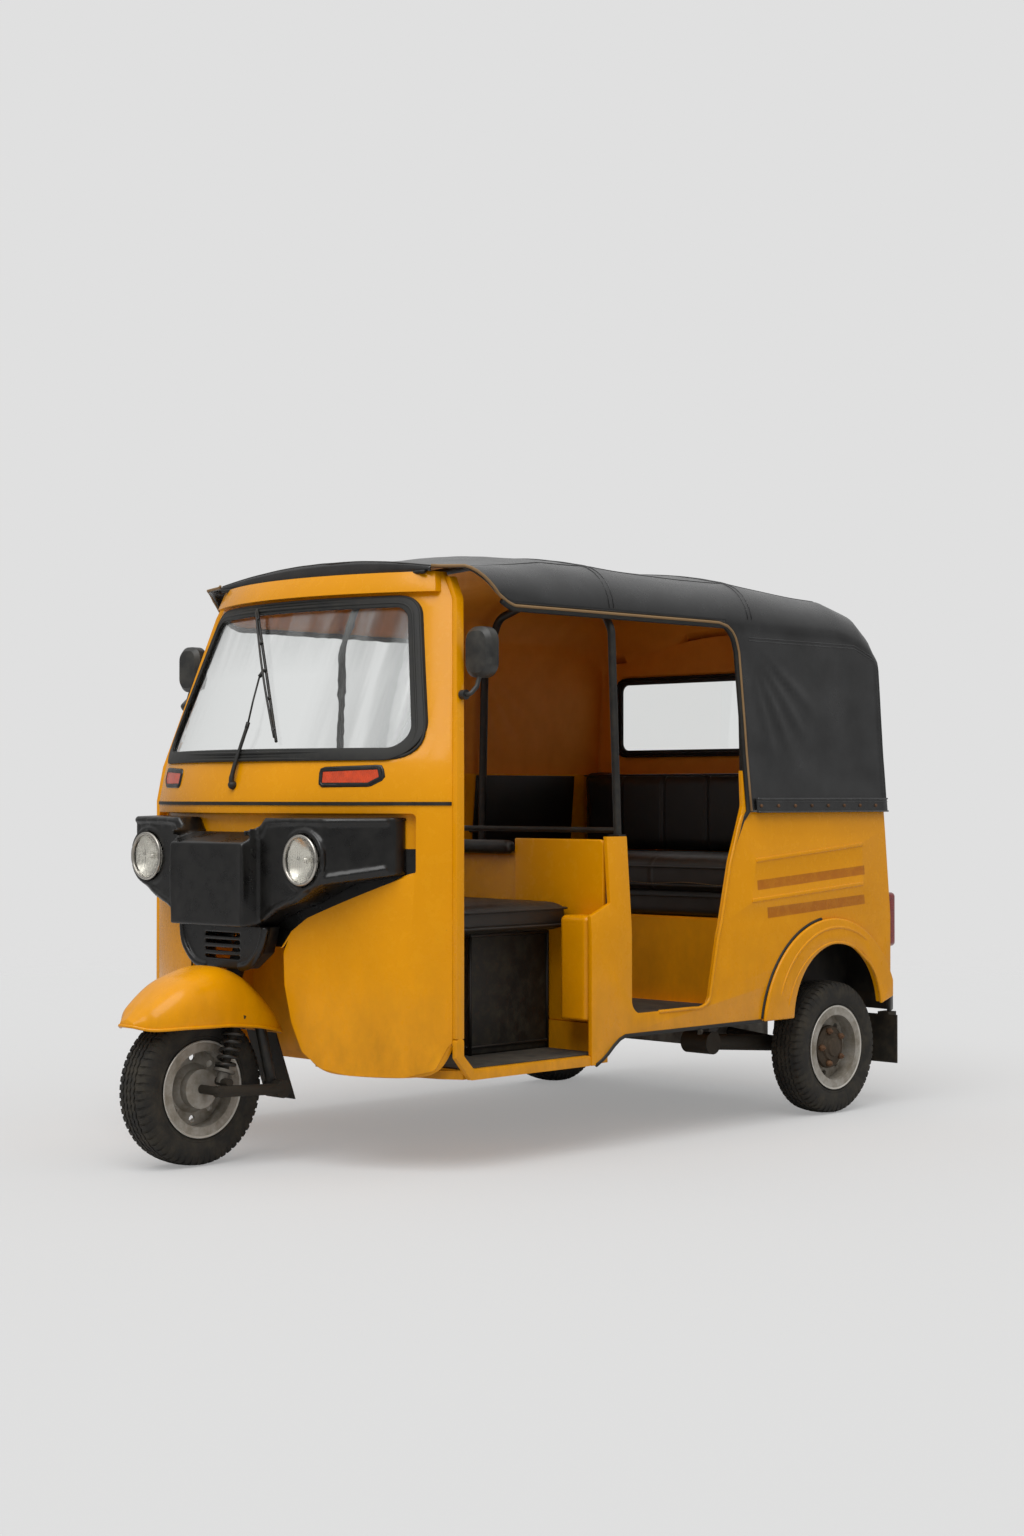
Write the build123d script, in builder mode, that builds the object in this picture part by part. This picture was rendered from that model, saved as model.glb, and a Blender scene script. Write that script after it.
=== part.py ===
from build123d import *
import math
import os

os.makedirs("parts", exist_ok=True)

# A three-wheeled taxi: yellow steel body, black vinyl hood, one steered front wheel.
# Millimetres. X to the left-hand side, Y to the rear, Z up, ground at Z = 0.
# Lengths along Y are counted from the middle of the wheelbase, and save() moves
# the finished pieces so that the row's origin is under the middle of the whole.

# driving dimensions
WHEELBASE = 2000
TRACK = 1146  # between the middles of the rear tyres
TYRE_R = 203
TYRE_W = 112
RIM_R = 127  # top of the rim's flange
BARREL_R = 104  # bead seat
BODY_HALF = TRACK / 2 + 67  # half width at the waist and below
WALL = 14  # a double-skinned panel
NOSE_Y = -868  # front of the cowl on the centre line
COWL_HALF = BODY_HALF - 20
COWL_SAG = 231  # how far the cowl's edge lies behind its nose
COWL_FOOT = 247
STRIP_Z = 961  # where the cowl starts to lean back
SILL_Z = 240
WAIST_Z = 863  # top of the half partition
FLOOR_Z = 262
REAR_FLOOR_Z = 345
BOX_Y = -127  # front face of the box beside the driver's seat
POST_Y = 30  # upright between driver and passengers
HOOP_Y = 630  # hoop at the rear of the passenger opening
REAR_Y = 1264  # outer face of the rear wall
GUTTER_Z = 1484
ROOF_Z = 1680
FENDER_TIP_Y = -1213
BUMPER_Y = 1400
STEER_RAKE = 21  # degrees from vertical
STEER_FOOT_Y = -1045  # where the steering axis meets the ground
COLUMN_R = 24
AXLE_R = 12
GAP = 0.4  # between soft pieces and what they rest on
SEAT_GAP = 0.3  # between a piece and what it is seated on

# worked out from them
FRONT_Y = -WHEELBASE / 2
REAR_AXLE_Y = WHEELBASE / 2
MID_Y = (FENDER_TIP_Y + BUMPER_Y) / 2
HUB_X = TRACK / 2
EDGE_Y = NOSE_Y + COWL_SAG


def save(build, name):
    """Moves a piece to the row's origin and writes it."""
    placed = Pos(0, -MID_Y, 0) * build.part
    placed.label = name
    export_step(placed, f"parts/{name}.step")


def front(y):
    """A plane that faces forward: its x is X and its y is Z."""
    return Plane(origin=(0, y, 0), x_dir=(1, 0, 0), z_dir=(0, -1, 0))


def side(x):
    """A plane that faces left: its x is Y and its y is Z."""
    return Plane(origin=(x, 0, 0), x_dir=(0, 1, 0), z_dir=(1, 0, 0))


def solid_of(plane, points, depth, radius=0):
    """An extruded polygon, its corners rounded alike."""
    with BuildPart() as build:
        with BuildSketch(plane) as sketch:
            with BuildLine():
                Polyline(*points, close=True)
            make_face()
            if radius:
                fillet(sketch.vertices(), radius)
        extrude(amount=depth)
    return build.part


def rod(start, end, radius):
    """A round bar between two points."""
    with BuildPart() as build:
        with BuildLine() as path:
            Line(start, end)
        with BuildSketch(Plane(origin=start, z_dir=path.line % 0)):
            Circle(radius)
        sweep(path=path.line)
    return build.part


def bent_tube(points, radius, bend):
    """A round tube along straight runs joined by arcs."""
    with BuildPart() as build:
        with BuildLine() as path:
            FilletPolyline(*points, radius=bend)
        with BuildSketch(Plane(origin=points[0], z_dir=path.line % 0)):
            Circle(radius)
        sweep(path=path.line)
    return build.part


# cowl stations: height, nose setback from NOSE_Y, half width
COWL_STATIONS = (
    (COWL_FOOT, 0, COWL_HALF),
    (STRIP_Z, 0, COWL_HALF),
    (STRIP_Z + 99, 22, COWL_HALF - 13),
    (STRIP_Z + 539, 206, COWL_HALF - 127),
    (STRIP_Z + 614, 240, COWL_HALF - 172),
)
SAG_K = COWL_SAG / COWL_HALF**2  # setback of the cowl's edge for its half width


def cowl_band(out, thick, low=0, high=4):
    """The cowl's front wall between two stations, moved out and made thick."""
    with BuildPart() as build:
        for z, setback, half in COWL_STATIONS[low : high + 1]:
            nose = NOSE_Y + setback - out
            edge = nose + SAG_K * half**2
            with BuildSketch(Plane.XY.offset(z)):
                with BuildLine():
                    ThreePointArc((-half, edge), (0, nose), (half, edge))
                    Line((half, edge), (half, edge + thick))
                    ThreePointArc((half, edge + thick), (0, nose + thick), (-half, edge + thick))
                    Line((-half, edge + thick), (-half, edge))
                make_face()
        loft(ruled=True)
    return build.part


def chords(start, middle, end, count):
    """Points at even steps along the arc through three points."""
    arc = ThreePointArc(start, middle, end, mode=Mode.PRIVATE)
    return [(point.X, point.Y) for point in (arc @ (step / count) for step in range(count + 1))]


def front_cut(points, radius=0, near=-1100, depth=800):
    """A prism along Y whose outline is drawn in the front view."""
    return solid_of(front(near + depth), points, depth, radius)


def plan_prism(points, low, high, radius=0):
    """A prism along Z whose outline is drawn in plan."""
    return solid_of(Plane.XY.offset(low), points, high - low, radius)


def plan_box(half, start, end, low, high):
    """A box across the whole width, from start to end along Y."""
    return plan_prism([(-half, start), (half, start), (half, end), (-half, end)], low, high)


def axis_y(z):
    """Where the steering axis lies at a height."""
    return STEER_FOOT_Y + z * math.tan(math.radians(STEER_RAKE))


def both(points):
    """An outline's mirror image across the centre plane, in the same turn."""
    return [(-x, z) for x, z in points]


# cowl: the wheel recess leaves a lobe on each side, and the lamp panel sits in a sunk pan
LOBE = [(197, 563), (200, 477), (222, 380), (255, 304), (309, 264), (387, COWL_FOOT + 1), (520, COWL_FOOT + 1),
        (585, 268), (612, 330), (BODY_HALF, 360), (BODY_HALF, 800), (150, 800), (150, 640), (222, 619)]
PAN = [(545, 930), (545, 775), (373, 700), (270, 655), (222, 619), (190, 575), (-190, 575), (-222, 619),
       (-270, 655), (-373, 700), (-545, 775), (-545, 930)]
SHIELD = [(560, 1068), (420, 1512), (-420, 1512), (-560, 1068)]
SHIELD_BEAD = 33
PAN_DEPTH = 25
PAN_LIP = 1.03  # the pan's wall reaches this much past its mouth


def shield_cut(inset):
    """The windscreen's outline, drawn in by an inset, through the cowl."""
    with BuildPart() as build:
        with BuildSketch(front(-300)) as sketch:
            with BuildLine():
                Polyline(*SHIELD, close=True)
            make_face()
            fillet(sketch.vertices(), 80)
            offset(amount=-inset)
        extrude(amount=800)
    return build.part


with BuildPart() as cowl:
    add(cowl_band(0, WALL))
    add(front_cut([(-700, 0), (700, 0), (700, 640), (-700, 640)]), mode=Mode.SUBTRACT)
    add(cowl_band(0, WALL, 0, 1) & front_cut(LOBE, 18))
    add(cowl_band(0, WALL, 0, 1) & front_cut(both(LOBE), 18))
    add(front_cut(PAN, 12), mode=Mode.SUBTRACT)
    add((cowl_band(0, PAN_DEPTH + WALL, 0, 1) & front_cut([(x * PAN_LIP, z) for x, z in PAN], 12))
        - (cowl_band(1, PAN_DEPTH + 1, 0, 1) & front_cut(PAN, 12)))
    add(shield_cut(0), mode=Mode.SUBTRACT)
    add(cowl_band(22, 30, 3, 4) & front_cut([(462, 1520), (444, 1575), (-444, 1575), (-462, 1520)]))
    add((cowl_band(20, 150, 3, 4) & front_cut([(-440, 1560), (440, 1560), (440, 1575), (-440, 1575)]))
        & plan_prism([(-460, -700), (460, -700), (460, -505), (-460, -505)], 1500, 1600))
    add(rod((0, axis_y(400), 400), (0, axis_y(900), 900), COLUMN_R + 8), mode=Mode.SUBTRACT)
save(cowl, "cowl")

with BuildPart() as shield_seal:
    add((cowl_band(8, 26, 1, 4) & shield_cut(0)) - shield_cut(SHIELD_BEAD))
    add(cowl_band(-4, 6, 1, 4) & shield_cut(22), mode=Mode.SUBTRACT)
save(shield_seal, "windscreen_seal")

with BuildPart() as shield:
    add(cowl_band(-4, 6, 1, 4) & shield_cut(22))
save(shield, "windscreen")

with BuildPart() as strip:
    add(cowl_band(3, 3, 0, 1) & front_cut([(-619, 951), (619, 951), (619, 960), (-619, 960)]))
save(strip, "cowl_strip")

# lamp panel: the front outline crossed with the plan outline, hollowed for lamps
PANEL_FRONT = [(160, 849), (150, 881), (185, 918), (513, 920), (513, 771), (387, 745), (300, 697), (225, 672),
               (165, 640), (155, 631)]
PANEL_PLAN = [(152, -954), (165, -905), (400, -884), (440, -835), (530, -716), (530, -600)]
LAMP_X = 329
LAMP_Z = 809
LAMP_R = 66
LAMP_Y = -893
DUCT = [(185, 640), (160, 560), (95, 515), (-95, 515), (-160, 560), (-185, 640)]


with BuildPart() as panel:
    add(front_cut(PANEL_FRONT + [(-x, z) for x, z in reversed(PANEL_FRONT)], 9))
    add(plan_prism(PANEL_PLAN + [(-x, y) for x, y in reversed(PANEL_PLAN)], 500, 1000), mode=Mode.INTERSECT)
    add(cowl_band(-PAN_DEPTH, 500, 0, 1), mode=Mode.SUBTRACT)
    with BuildSketch(front(LAMP_Y + 40)):
        with Locations((LAMP_X, LAMP_Z), (-LAMP_X, LAMP_Z)):
            Circle(LAMP_R + 3)
    extrude(amount=200, mode=Mode.SUBTRACT)
save(panel, "lamp_panel")

with BuildPart() as duct:
    add(front_cut(DUCT, 10))
    add(plan_prism([(-200, -896), (200, -896), (200, -846), (-200, -846)], 500, 631), mode=Mode.INTERSECT)
    add(plan_prism([(-88, -884), (88, -884), (88, -600), (-88, -600)], 500, 631), mode=Mode.SUBTRACT)
    with BuildSketch(front(-840)):
        with Locations((0, 575)):
            with GridLocations(0, 20, 1, 4):
                Rectangle(150, 9)
    extrude(amount=80, mode=Mode.SUBTRACT)
save(duct, "air_duct")

with BuildPart() as bezels:
    for x in (LAMP_X, -LAMP_X):
        with BuildSketch(front(LAMP_Y + 39.5)):
            with Locations((x, LAMP_Z)):
                Circle(LAMP_R)
        extrude(amount=50)
        with BuildSketch(front(LAMP_Y + 20)):
            with Locations((x, LAMP_Z)):
                Circle(LAMP_R - 7)
        extrude(amount=60, mode=Mode.SUBTRACT)
save(bezels, "headlamp_bowls")

with BuildPart() as lenses:
    for x in (LAMP_X, -LAMP_X):
        with BuildSketch(front(LAMP_Y - 2)):
            with Locations((x, LAMP_Z)):
                Circle(LAMP_R - 8)
        extrude(amount=8)
save(lenses, "headlamp_lenses")

# turn indicators: a black frame let into the cowl above the strip
INDICATOR = [(300, 1003), (296, 1046), (452, 1052), (462, 1022), (430, 1003)]


def indicator_cut(inset):
    with BuildPart() as build:
        for outline in (INDICATOR, both(INDICATOR)):
            with BuildSketch(front(-500)) as sketch:
                with BuildLine():
                    Polyline(*outline, close=True)
                make_face()
                fillet(sketch.vertices(), 6)
                offset(amount=-inset)
            extrude(amount=600)
    return build.part


with BuildPart() as frames:
    add((cowl_band(4, 3.5, 1, 2) & indicator_cut(0)) - indicator_cut(7))
save(frames, "indicator_frames")

with BuildPart() as indicators:
    add(cowl_band(3, 2.5, 1, 2) & indicator_cut(7.5))
save(indicators, "indicator_lenses")

# door surround: a post that follows the cowl's edge, and the sill below the door
POST_DEEP = 26


def door_post(sign):
    with BuildPart() as build:
        for z, setback, half in ((350, 0, COWL_HALF), *COWL_STATIONS[1:4], (STRIP_Z + 600, 236, COWL_HALF - 163)):
            edge = NOSE_Y + setback + SAG_K * half**2
            with BuildSketch(Plane.XY.offset(z)):
                with Locations((sign * (half + 9), edge + POST_DEEP / 2)):
                    Rectangle(16, POST_DEEP)
        loft(ruled=True)
    return build.part


SILL = [(-637, 350), (-637, 300), (-585, SILL_Z), (BOX_Y - SEAT_GAP, SILL_Z), (BOX_Y - SEAT_GAP, 268), (-575, 268),
        (-611, 305), (-611, 350)]
with BuildPart() as surround:
    for sign in (1, -1):
        add(door_post(sign))
        add(solid_of(side(sign * (BODY_HALF - 11) - 8), SILL, 16, 9))
save(surround, "door_surrounds")

# front wheel well: two cheeks, a crown that carries the head tube, and the wall in front of the driver's feet
WELL_HALF = 262
WELL_BACK_Y = -575
WELL_TOP_Z = 600
WELL_FLANGE = 34  # its foot, screwed down on the floor
with BuildPart() as well:
    add(plan_prism([(-WELL_HALF - 6, -790), (-WELL_HALF, WELL_BACK_Y), (WELL_HALF, WELL_BACK_Y),
                    (WELL_HALF + 6, -790)], FLOOR_Z + SEAT_GAP, WELL_TOP_Z))
    add(plan_prism([(-WELL_HALF - WELL_FLANGE, -690), (WELL_HALF + WELL_FLANGE, -690),
                    (WELL_HALF + WELL_FLANGE, WELL_BACK_Y + 26), (-WELL_HALF - WELL_FLANGE, WELL_BACK_Y + 26)],
                   FLOOR_Z + SEAT_GAP, FLOOR_Z + 4))
    add(plan_prism([(-WELL_HALF + 2, -800), (-WELL_HALF + 8, WELL_BACK_Y - 8), (WELL_HALF - 8, WELL_BACK_Y - 8),
                    (WELL_HALF - 2, -800)], 200, WELL_TOP_Z - 8), mode=Mode.SUBTRACT)
    add(rod((0, axis_y(400), 400), (0, axis_y(900), 900), COLUMN_R + 7), mode=Mode.SUBTRACT)
    add(rod((0, axis_y(595), 595), (0, axis_y(705), 705), COLUMN_R + 7.5))
    add(rod((0, axis_y(400), 400), (0, axis_y(900), 900), COLUMN_R + 0.05), mode=Mode.SUBTRACT)
save(well, "wheel_well")

# floors, front and rear, with the step between them under the half partition
STEP_Y = -47
FLOOR_HALF = BODY_HALF - 28
with BuildPart() as floor:
    add(plan_prism([(-FLOOR_HALF, -590), (52 - FLOOR_HALF, -622), (-WELL_HALF - 20, -700),
                    (-WELL_HALF - 20, WELL_BACK_Y + 12), (WELL_HALF + 20, WELL_BACK_Y + 12), (WELL_HALF + 20, -700),
                    (FLOOR_HALF - 52, -622), (FLOOR_HALF, -590), (FLOOR_HALF, STEP_Y), (-FLOOR_HALF, STEP_Y)],
                   SILL_Z, FLOOR_Z))
    add(plan_box(FLOOR_HALF, STEP_Y, STEP_Y + WALL, SILL_Z, REAR_FLOOR_Z))
    add(plan_box(FLOOR_HALF, STEP_Y, 700, REAR_FLOOR_Z - 20, REAR_FLOOR_Z))
save(floor, "floor")

with BuildPart() as mat:
    add(plan_box(FLOOR_HALF - 12, -575, -52, FLOOR_Z, FLOOR_Z + 5)
        - plan_box(WELL_HALF + WELL_FLANGE + 1, -700, WELL_BACK_Y + 27, 200, 300))
    add(plan_box(FLOOR_HALF - 6, 0, HOOP_Y - 20, REAR_FLOOR_Z, REAR_FLOOR_Z + 4))
save(mat, "floor_mats")

# side panels: tumblehome above the waist line, the passenger opening and the wheel arch cut out
TUMBLE = [(BODY_HALF, 300), (BODY_HALF, 600), (BODY_HALF - 20, 870), (BODY_HALF - 40, 1100), (BODY_HALF - 65, 1470)]
ARCH_Y = 980
ARCH_Z = 302
ARCH_R = 226
FLARE_Y = 952
FLARE_Z = 262
FLARE_R = 340


def tumble_x(z):
    """Half width of the body at a height."""
    for (x_low, z_low), (x_high, z_high) in zip(TUMBLE, TUMBLE[1:]):
        if z <= z_high:
            return x_low + (x_high - x_low) * max(0, z - z_low) / (z_high - z_low)
    return TUMBLE[-1][0]


def side_skin(sign, out, thick, low, high, start, end):
    """A wall that follows the tumblehome, from start to end along Y."""
    heights = [low] + [z for x, z in TUMBLE if low < z < high] + [high]
    outer = [(sign * (tumble_x(z) + out), z) for z in heights]
    inner = [(sign * (tumble_x(z) + out - thick), z) for z in reversed(heights)]
    return solid_of(front(end), outer + inner, end - start)


def side_prism(points, sign, radius=0):
    """A prism across one side of the body, drawn in side view."""
    return solid_of(side(450 if sign > 0 else -750), points, 300, radius)


SIDE_OUTLINE = [(BOX_Y, SILL_Z), (BOX_Y, 647), (-45, 680), (-45, WAIST_Z), (POST_Y + 20, WAIST_Z), (POST_Y + 20, 1050),
                (REAR_Y, 1050),
                (REAR_Y, 380), (1180, 312), (0, 312), (-100, SILL_Z)]
PRESS_DEPTH = 3
PRESS_LINES = ([(605, 780), (1137, 820), (1137, 830), (605, 790)], [(575, 662), (1129, 698), (1129, 708), (575, 672)])
for sign, name in ((1, "left"), (-1, "right")):
    with BuildPart() as panel_side:
        add(side_skin(sign, 0, WALL, SILL_Z, 1050, BOX_Y, REAR_Y) & side_prism(SIDE_OUTLINE, sign))
        add(side_prism([(POST_Y + 8, 1200), (POST_Y + 8, 370), (370, 370), (412, 570), (484, 785), (560, 945),
                        (575, 1200)], sign, 38), mode=Mode.SUBTRACT)
        with BuildSketch(side(450 if sign > 0 else -750)):
            with Locations((ARCH_Y, ARCH_Z)):
                Circle(ARCH_R)
        extrude(amount=300, mode=Mode.SUBTRACT)
        add(side_prism([(ARCH_Y - ARCH_R, 100), (ARCH_Y + ARCH_R, 100), (ARCH_Y + ARCH_R, ARCH_Z),
                        (ARCH_Y - ARCH_R, ARCH_Z)], sign), mode=Mode.SUBTRACT)
        for line in PRESS_LINES:
            add(side_skin(sign, PRESS_DEPTH, PRESS_DEPTH + 4, 600, 880, 500, 1250) & side_prism(line, sign))
    save(panel_side, f"side_panel_{name}")

with BuildPart() as flares:
    for sign in (1, -1):
        with BuildPart(mode=Mode.PRIVATE) as flare:
            with BuildSketch(side(BODY_HALF if sign > 0 else -BODY_HALF - 12)):
                with Locations((FLARE_Y, FLARE_Z)):
                    Circle(FLARE_R)
                with Locations((ARCH_Y, ARCH_Z)):
                    Circle(ARCH_R - 4, mode=Mode.SUBTRACT)
            extrude(amount=12)
            add(side_prism([(500, -200), (1400, -200), (1400, 390), (1150, ARCH_Z + 8), (500, ARCH_Z + 8)], sign),
                mode=Mode.SUBTRACT)
            add(side_prism([(REAR_Y, -200), (1400, -200), (1400, 900), (REAR_Y, 900)], sign), mode=Mode.SUBTRACT)
        add(flare)
save(flares, "wheel_arches")


def tub_form(sign, inset):
    """The box over a rear wheel, drawn in by an inset and open below."""
    outline = [(ARCH_Y - 250 + inset, 350 - 30 * inset), (ARCH_Y - 250 + inset, 520), (ARCH_Y - 170, 590 - inset),
               (ARCH_Y + 170, 590 - inset), (ARCH_Y + 250 - inset, 520), (ARCH_Y + 250 - inset, 350 - 30 * inset)]
    near = sign * (BODY_HALF - 150 + inset)
    far = sign * (BODY_HALF - WALL - 0.5 + inset)
    return side_prism(outline, sign, 24) & solid_of(front(1300), [(near, 0), (far, 0), (far, 700), (near, 700)], 700)


with BuildPart() as tubs:
    for sign in (1, -1):
        add(tub_form(sign, 0) - tub_form(sign, 6))
save(tubs, "wheel_tubs")

# the boxes beside the driver's seat, their front faces ahead of the half partition
BOX_OUT_X = BODY_HALF - 18
PARTITION_Y = -30  # rear face of its corner pieces
BOX_BACK_Y = PARTITION_Y - WALL - SEAT_GAP
with BuildPart() as lockers:
    for sign in (1, -1):
        add(plan_prism([(sign * (BOX_OUT_X - 109), BOX_Y), (sign * BOX_OUT_X, BOX_Y), (sign * BOX_OUT_X, BOX_BACK_Y),
                        (sign * (BOX_OUT_X - 109), BOX_BACK_Y)], 361, 647))
    fillet(lockers.edges().filter_by(Axis.Z).group_by(Axis.Y)[0], 20)
    fillet(lockers.faces().sort_by(Axis.Z)[-2:].edges().group_by(Axis.Y)[0], 16)
save(lockers, "side_boxes")

# half partition behind the driver: a corner piece each side and a lower middle
with BuildPart() as partition:
    for sign in (1, -1):
        with BuildSketch(front(PARTITION_Y)) as corner:
            with BuildLine():
                Polyline((sign * 262, REAR_FLOOR_Z + SEAT_GAP), (sign * (BODY_HALF - 35), REAR_FLOOR_Z + SEAT_GAP),
                         (sign * (BODY_HALF - 35), WAIST_Z - 8), (sign * 262, WAIST_Z - 8), close=True)
            make_face()
            fillet(corner.vertices().sort_by(Axis.Z)[-2:], 16)
        extrude(amount=WALL)
    add(solid_of(front(PARTITION_Y + WALL), [(-300, REAR_FLOOR_Z + SEAT_GAP), (300, REAR_FLOOR_Z + SEAT_GAP), (300, 815),
                                             (-300, 815)], WALL))
save(partition, "half_partition")

with BuildPart() as pad:
    add(rod((-255, PARTITION_Y - 15, 829), (255, PARTITION_Y - 15, 829), 20))
save(pad, "driver_back_pad")

# uprights, grab rail and hoops; each upright stands on a foot plate on the side panel
POLE_X = BODY_HALF - 47
RAIL_Z = 880
with BuildPart() as uprights:
    for sign in (1, -1):
        add(bent_tube([(sign * POLE_X, POST_Y, WAIST_Z + 2), (sign * (POLE_X - 23), POST_Y, 1440),
                       (sign * (POLE_X - 93), POST_Y, 1570), (sign * 260, POST_Y, 1640), (0, POST_Y, 1655)], 11, 60))
        add(plan_prism([(sign * (POLE_X - 16), 8), (sign * (POLE_X + 25), 8), (sign * (POLE_X + 25), 36),
                        (sign * (POLE_X - 16), 36)], WAIST_Z + SEAT_GAP, WAIST_Z + 5))
    add(rod((8 - POLE_X, POST_Y, RAIL_Z), (POLE_X - 8, POST_Y, RAIL_Z), 8))
save(uprights, "upright_frame")

HOOP_X = BODY_HALF - 80
with BuildPart() as hoop:
    for sign in (1, -1):
        add(bent_tube([(sign * HOOP_X, HOOP_Y + 8, 788), (sign * (HOOP_X - 15), HOOP_Y + 8, 1400),
                       (sign * (HOOP_X - 80), HOOP_Y + 8, 1560), (sign * 250, HOOP_Y + 8, 1632),
                       (0, HOOP_Y + 8, 1646)], 13, 60))
        add(rod((sign * (HOOP_X + 5), HOOP_Y, 860), (sign * (tumble_x(866) - WALL - SEAT_GAP), HOOP_Y, 860), 6))
save(hoop, "rear_hoop")

# hood: roof sections as (Y, crown height, shoulder height, height where the side ends)
ROOF = ((-552, 1624, 1585, 1520), (-170, ROOF_Z, 1634, 1470), (HOOP_Y, 1672, 1624, 1460), (1080, 1648, 1600, 1450),
        (1200, 1600, 1552, 1420), (REAR_Y + 8, 1500, 1452, 1385))
SHOULDER_X = BODY_HALF - 170
HOOD_OUT = 10
HOOD_LOW = 925


def hood_form(inset, back=0):
    """The hood's outer form, drawn in by an inset."""
    with BuildPart() as build:
        for y, crown, bend, top in ROOF:
            low_x = tumble_x(HOOD_LOW) + HOOD_OUT - inset
            high_x = tumble_x(top) + HOOD_OUT - inset
            shoulder = (SHOULDER_X - inset / 2, bend - inset)
            mid = (high_x - 26, (top + shoulder[1]) / 2 + 26 - inset / 2)
            rise = chords((high_x, top - inset / 2), mid, shoulder, 4)
            over = chords(shoulder, (0, crown - inset), (-shoulder[0], shoulder[1]), 10)
            fall = [(-x, z) for x, z in reversed(rise)]
            with BuildSketch(front(min(y, REAR_Y + 8 - back))):
                with BuildLine():
                    Polyline((low_x, 880), *rise, *over[1:-1], *fall, (-low_x, 880), close=True)
                make_face()
        loft(ruled=True)
    return build.part


HOOD_SIDE = [(-700, 800), (-700, 1576), (-515, 1576), (-500, 1530), (-455, 1495), (-410, GUTTER_Z), (540, GUTTER_Z),
             (598, 1425), (604, 1190), (614, HOOD_LOW), (REAR_Y - 3, HOOD_LOW + 8), (1500, HOOD_LOW + 8), (1500, 800)]
WINDOW = [(-520, 1110), (520, 1110), (520, 1385), (-520, 1385)]


def window_cut(inset):
    with BuildPart() as build:
        with BuildSketch(front(1400)) as sketch:
            with BuildLine():
                Polyline(*WINDOW, close=True)
            make_face()
            fillet(sketch.vertices(), 50)
            offset(amount=-inset)
        extrude(amount=250)
    return build.part


below_hood = solid_of(side(-800), HOOD_SIDE, 1600)
front_corners = plan_prism([(-720, -400), (-582, -430), (-450, -552), (450, -552), (582, -430), (720, -400),
                            (720, 1500), (-720, 1500)], 800, 1800)
with BuildPart() as hood:
    add(((hood_form(0) - hood_form(6, 6)) - below_hood) & front_corners)
    add(window_cut(0), mode=Mode.SUBTRACT)
save(hood, "hood")

with BuildPart() as window_seal:
    add(window_cut(0) & solid_of(front(REAR_Y + 14), [(-600, 1000), (600, 1000), (600, 1450), (-600, 1450)], 16))
    add(window_cut(24), mode=Mode.SUBTRACT)
    add(window_cut(16) & solid_of(front(REAR_Y + 8), [(-600, 1000), (600, 1000), (600, 1450), (-600, 1450)], 5),
        mode=Mode.SUBTRACT)
save(window_seal, "rear_window_seal")

with BuildPart() as window:
    add(window_cut(16) & solid_of(front(REAR_Y + 8), [(-600, 1000), (600, 1000), (600, 1450), (-600, 1450)], 5))
save(window, "rear_window")

# rear wall with the engine door's opening
DOOR_HALF = 330
DOOR_LOW = 400
DOOR_HIGH = 820
HINGE_X = 200  # near end of each of the door's two hinges
HINGE_Y = REAR_Y + 9
HINGE_Z = DOOR_HIGH - 5
KNUCKLE_R = 5.5
PIN_R = 3
with BuildPart() as rear_wall:
    outline = [(sign * (tumble_x(z) - WALL - 1), z) for sign in (1, -1) for z in (380, 600, 870, 1050)[::sign]]
    add(solid_of(front(REAR_Y), outline, WALL))
    add(front_cut([(-DOOR_HALF, DOOR_LOW), (DOOR_HALF, DOOR_LOW), (DOOR_HALF, DOOR_HIGH), (-DOOR_HALF, DOOR_HIGH)],
                  30, 1000, 400), mode=Mode.SUBTRACT)
    for sign in (1, -1):
        for near in (HINGE_X - 6, HINGE_X + 50):
            with BuildSketch(side(sign * (near + 5) - 5)):
                with Locations((HINGE_Y, HINGE_Z)):
                    Circle(KNUCKLE_R)
                    Rectangle(KNUCKLE_R * 2, 17, align=(Align.CENTER, Align.MIN))
                with Locations((REAR_Y - 1, HINGE_Z + 7)):
                    Rectangle(10, 10, align=(Align.MIN, Align.MIN))
            extrude(amount=10)
        add(rod((sign * (HINGE_X - 6), HINGE_Y, HINGE_Z), (sign * (HINGE_X + 60), HINGE_Y, HINGE_Z), PIN_R))
save(rear_wall, "rear_wall")

DOOR_GAP = 5
with BuildPart() as engine_door:
    add(front_cut([(-DOOR_HALF + DOOR_GAP, DOOR_LOW + DOOR_GAP), (DOOR_HALF - DOOR_GAP, DOOR_LOW + DOOR_GAP),
                   (DOOR_HALF - DOOR_GAP, DOOR_HIGH - DOOR_GAP), (-DOOR_HALF + DOOR_GAP, DOOR_HIGH - DOOR_GAP)],
                  25, 1000, 400)
        & solid_of(front(REAR_Y + 3), [(-400, 300), (400, 300), (400, 900), (-400, 900)], 12))
    with BuildSketch(front(REAR_Y + 50)):
        with Locations((0, 480)):
            with GridLocations(120, 18, 4, 4):
                Rectangle(90, 7)
    extrude(amount=120, mode=Mode.SUBTRACT)
    for sign in (1, -1):
        with BuildSketch(side(sign * (HINGE_X + 27) - 21)):
            with Locations((HINGE_Y, HINGE_Z)):
                Circle(KNUCKLE_R)
                Rectangle(7, 10, align=(Align.MAX, Align.MAX))
        extrude(amount=42)
    add(rod((-300, HINGE_Y, HINGE_Z), (300, HINGE_Y, HINGE_Z), PIN_R + 0.05), mode=Mode.SUBTRACT)
save(engine_door, "engine_door")

with BuildPart() as tail_lamps:
    for sign in (1, -1):
        add(solid_of(front(REAR_Y + 44), [(sign * (BODY_HALF - 95), 500), (sign * (BODY_HALF - 12), 500),
                                          (sign * (BODY_HALF - 12), 670), (sign * (BODY_HALF - 95), 670)], 43.5, 14))
save(tail_lamps, "tail_lamps")

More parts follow.
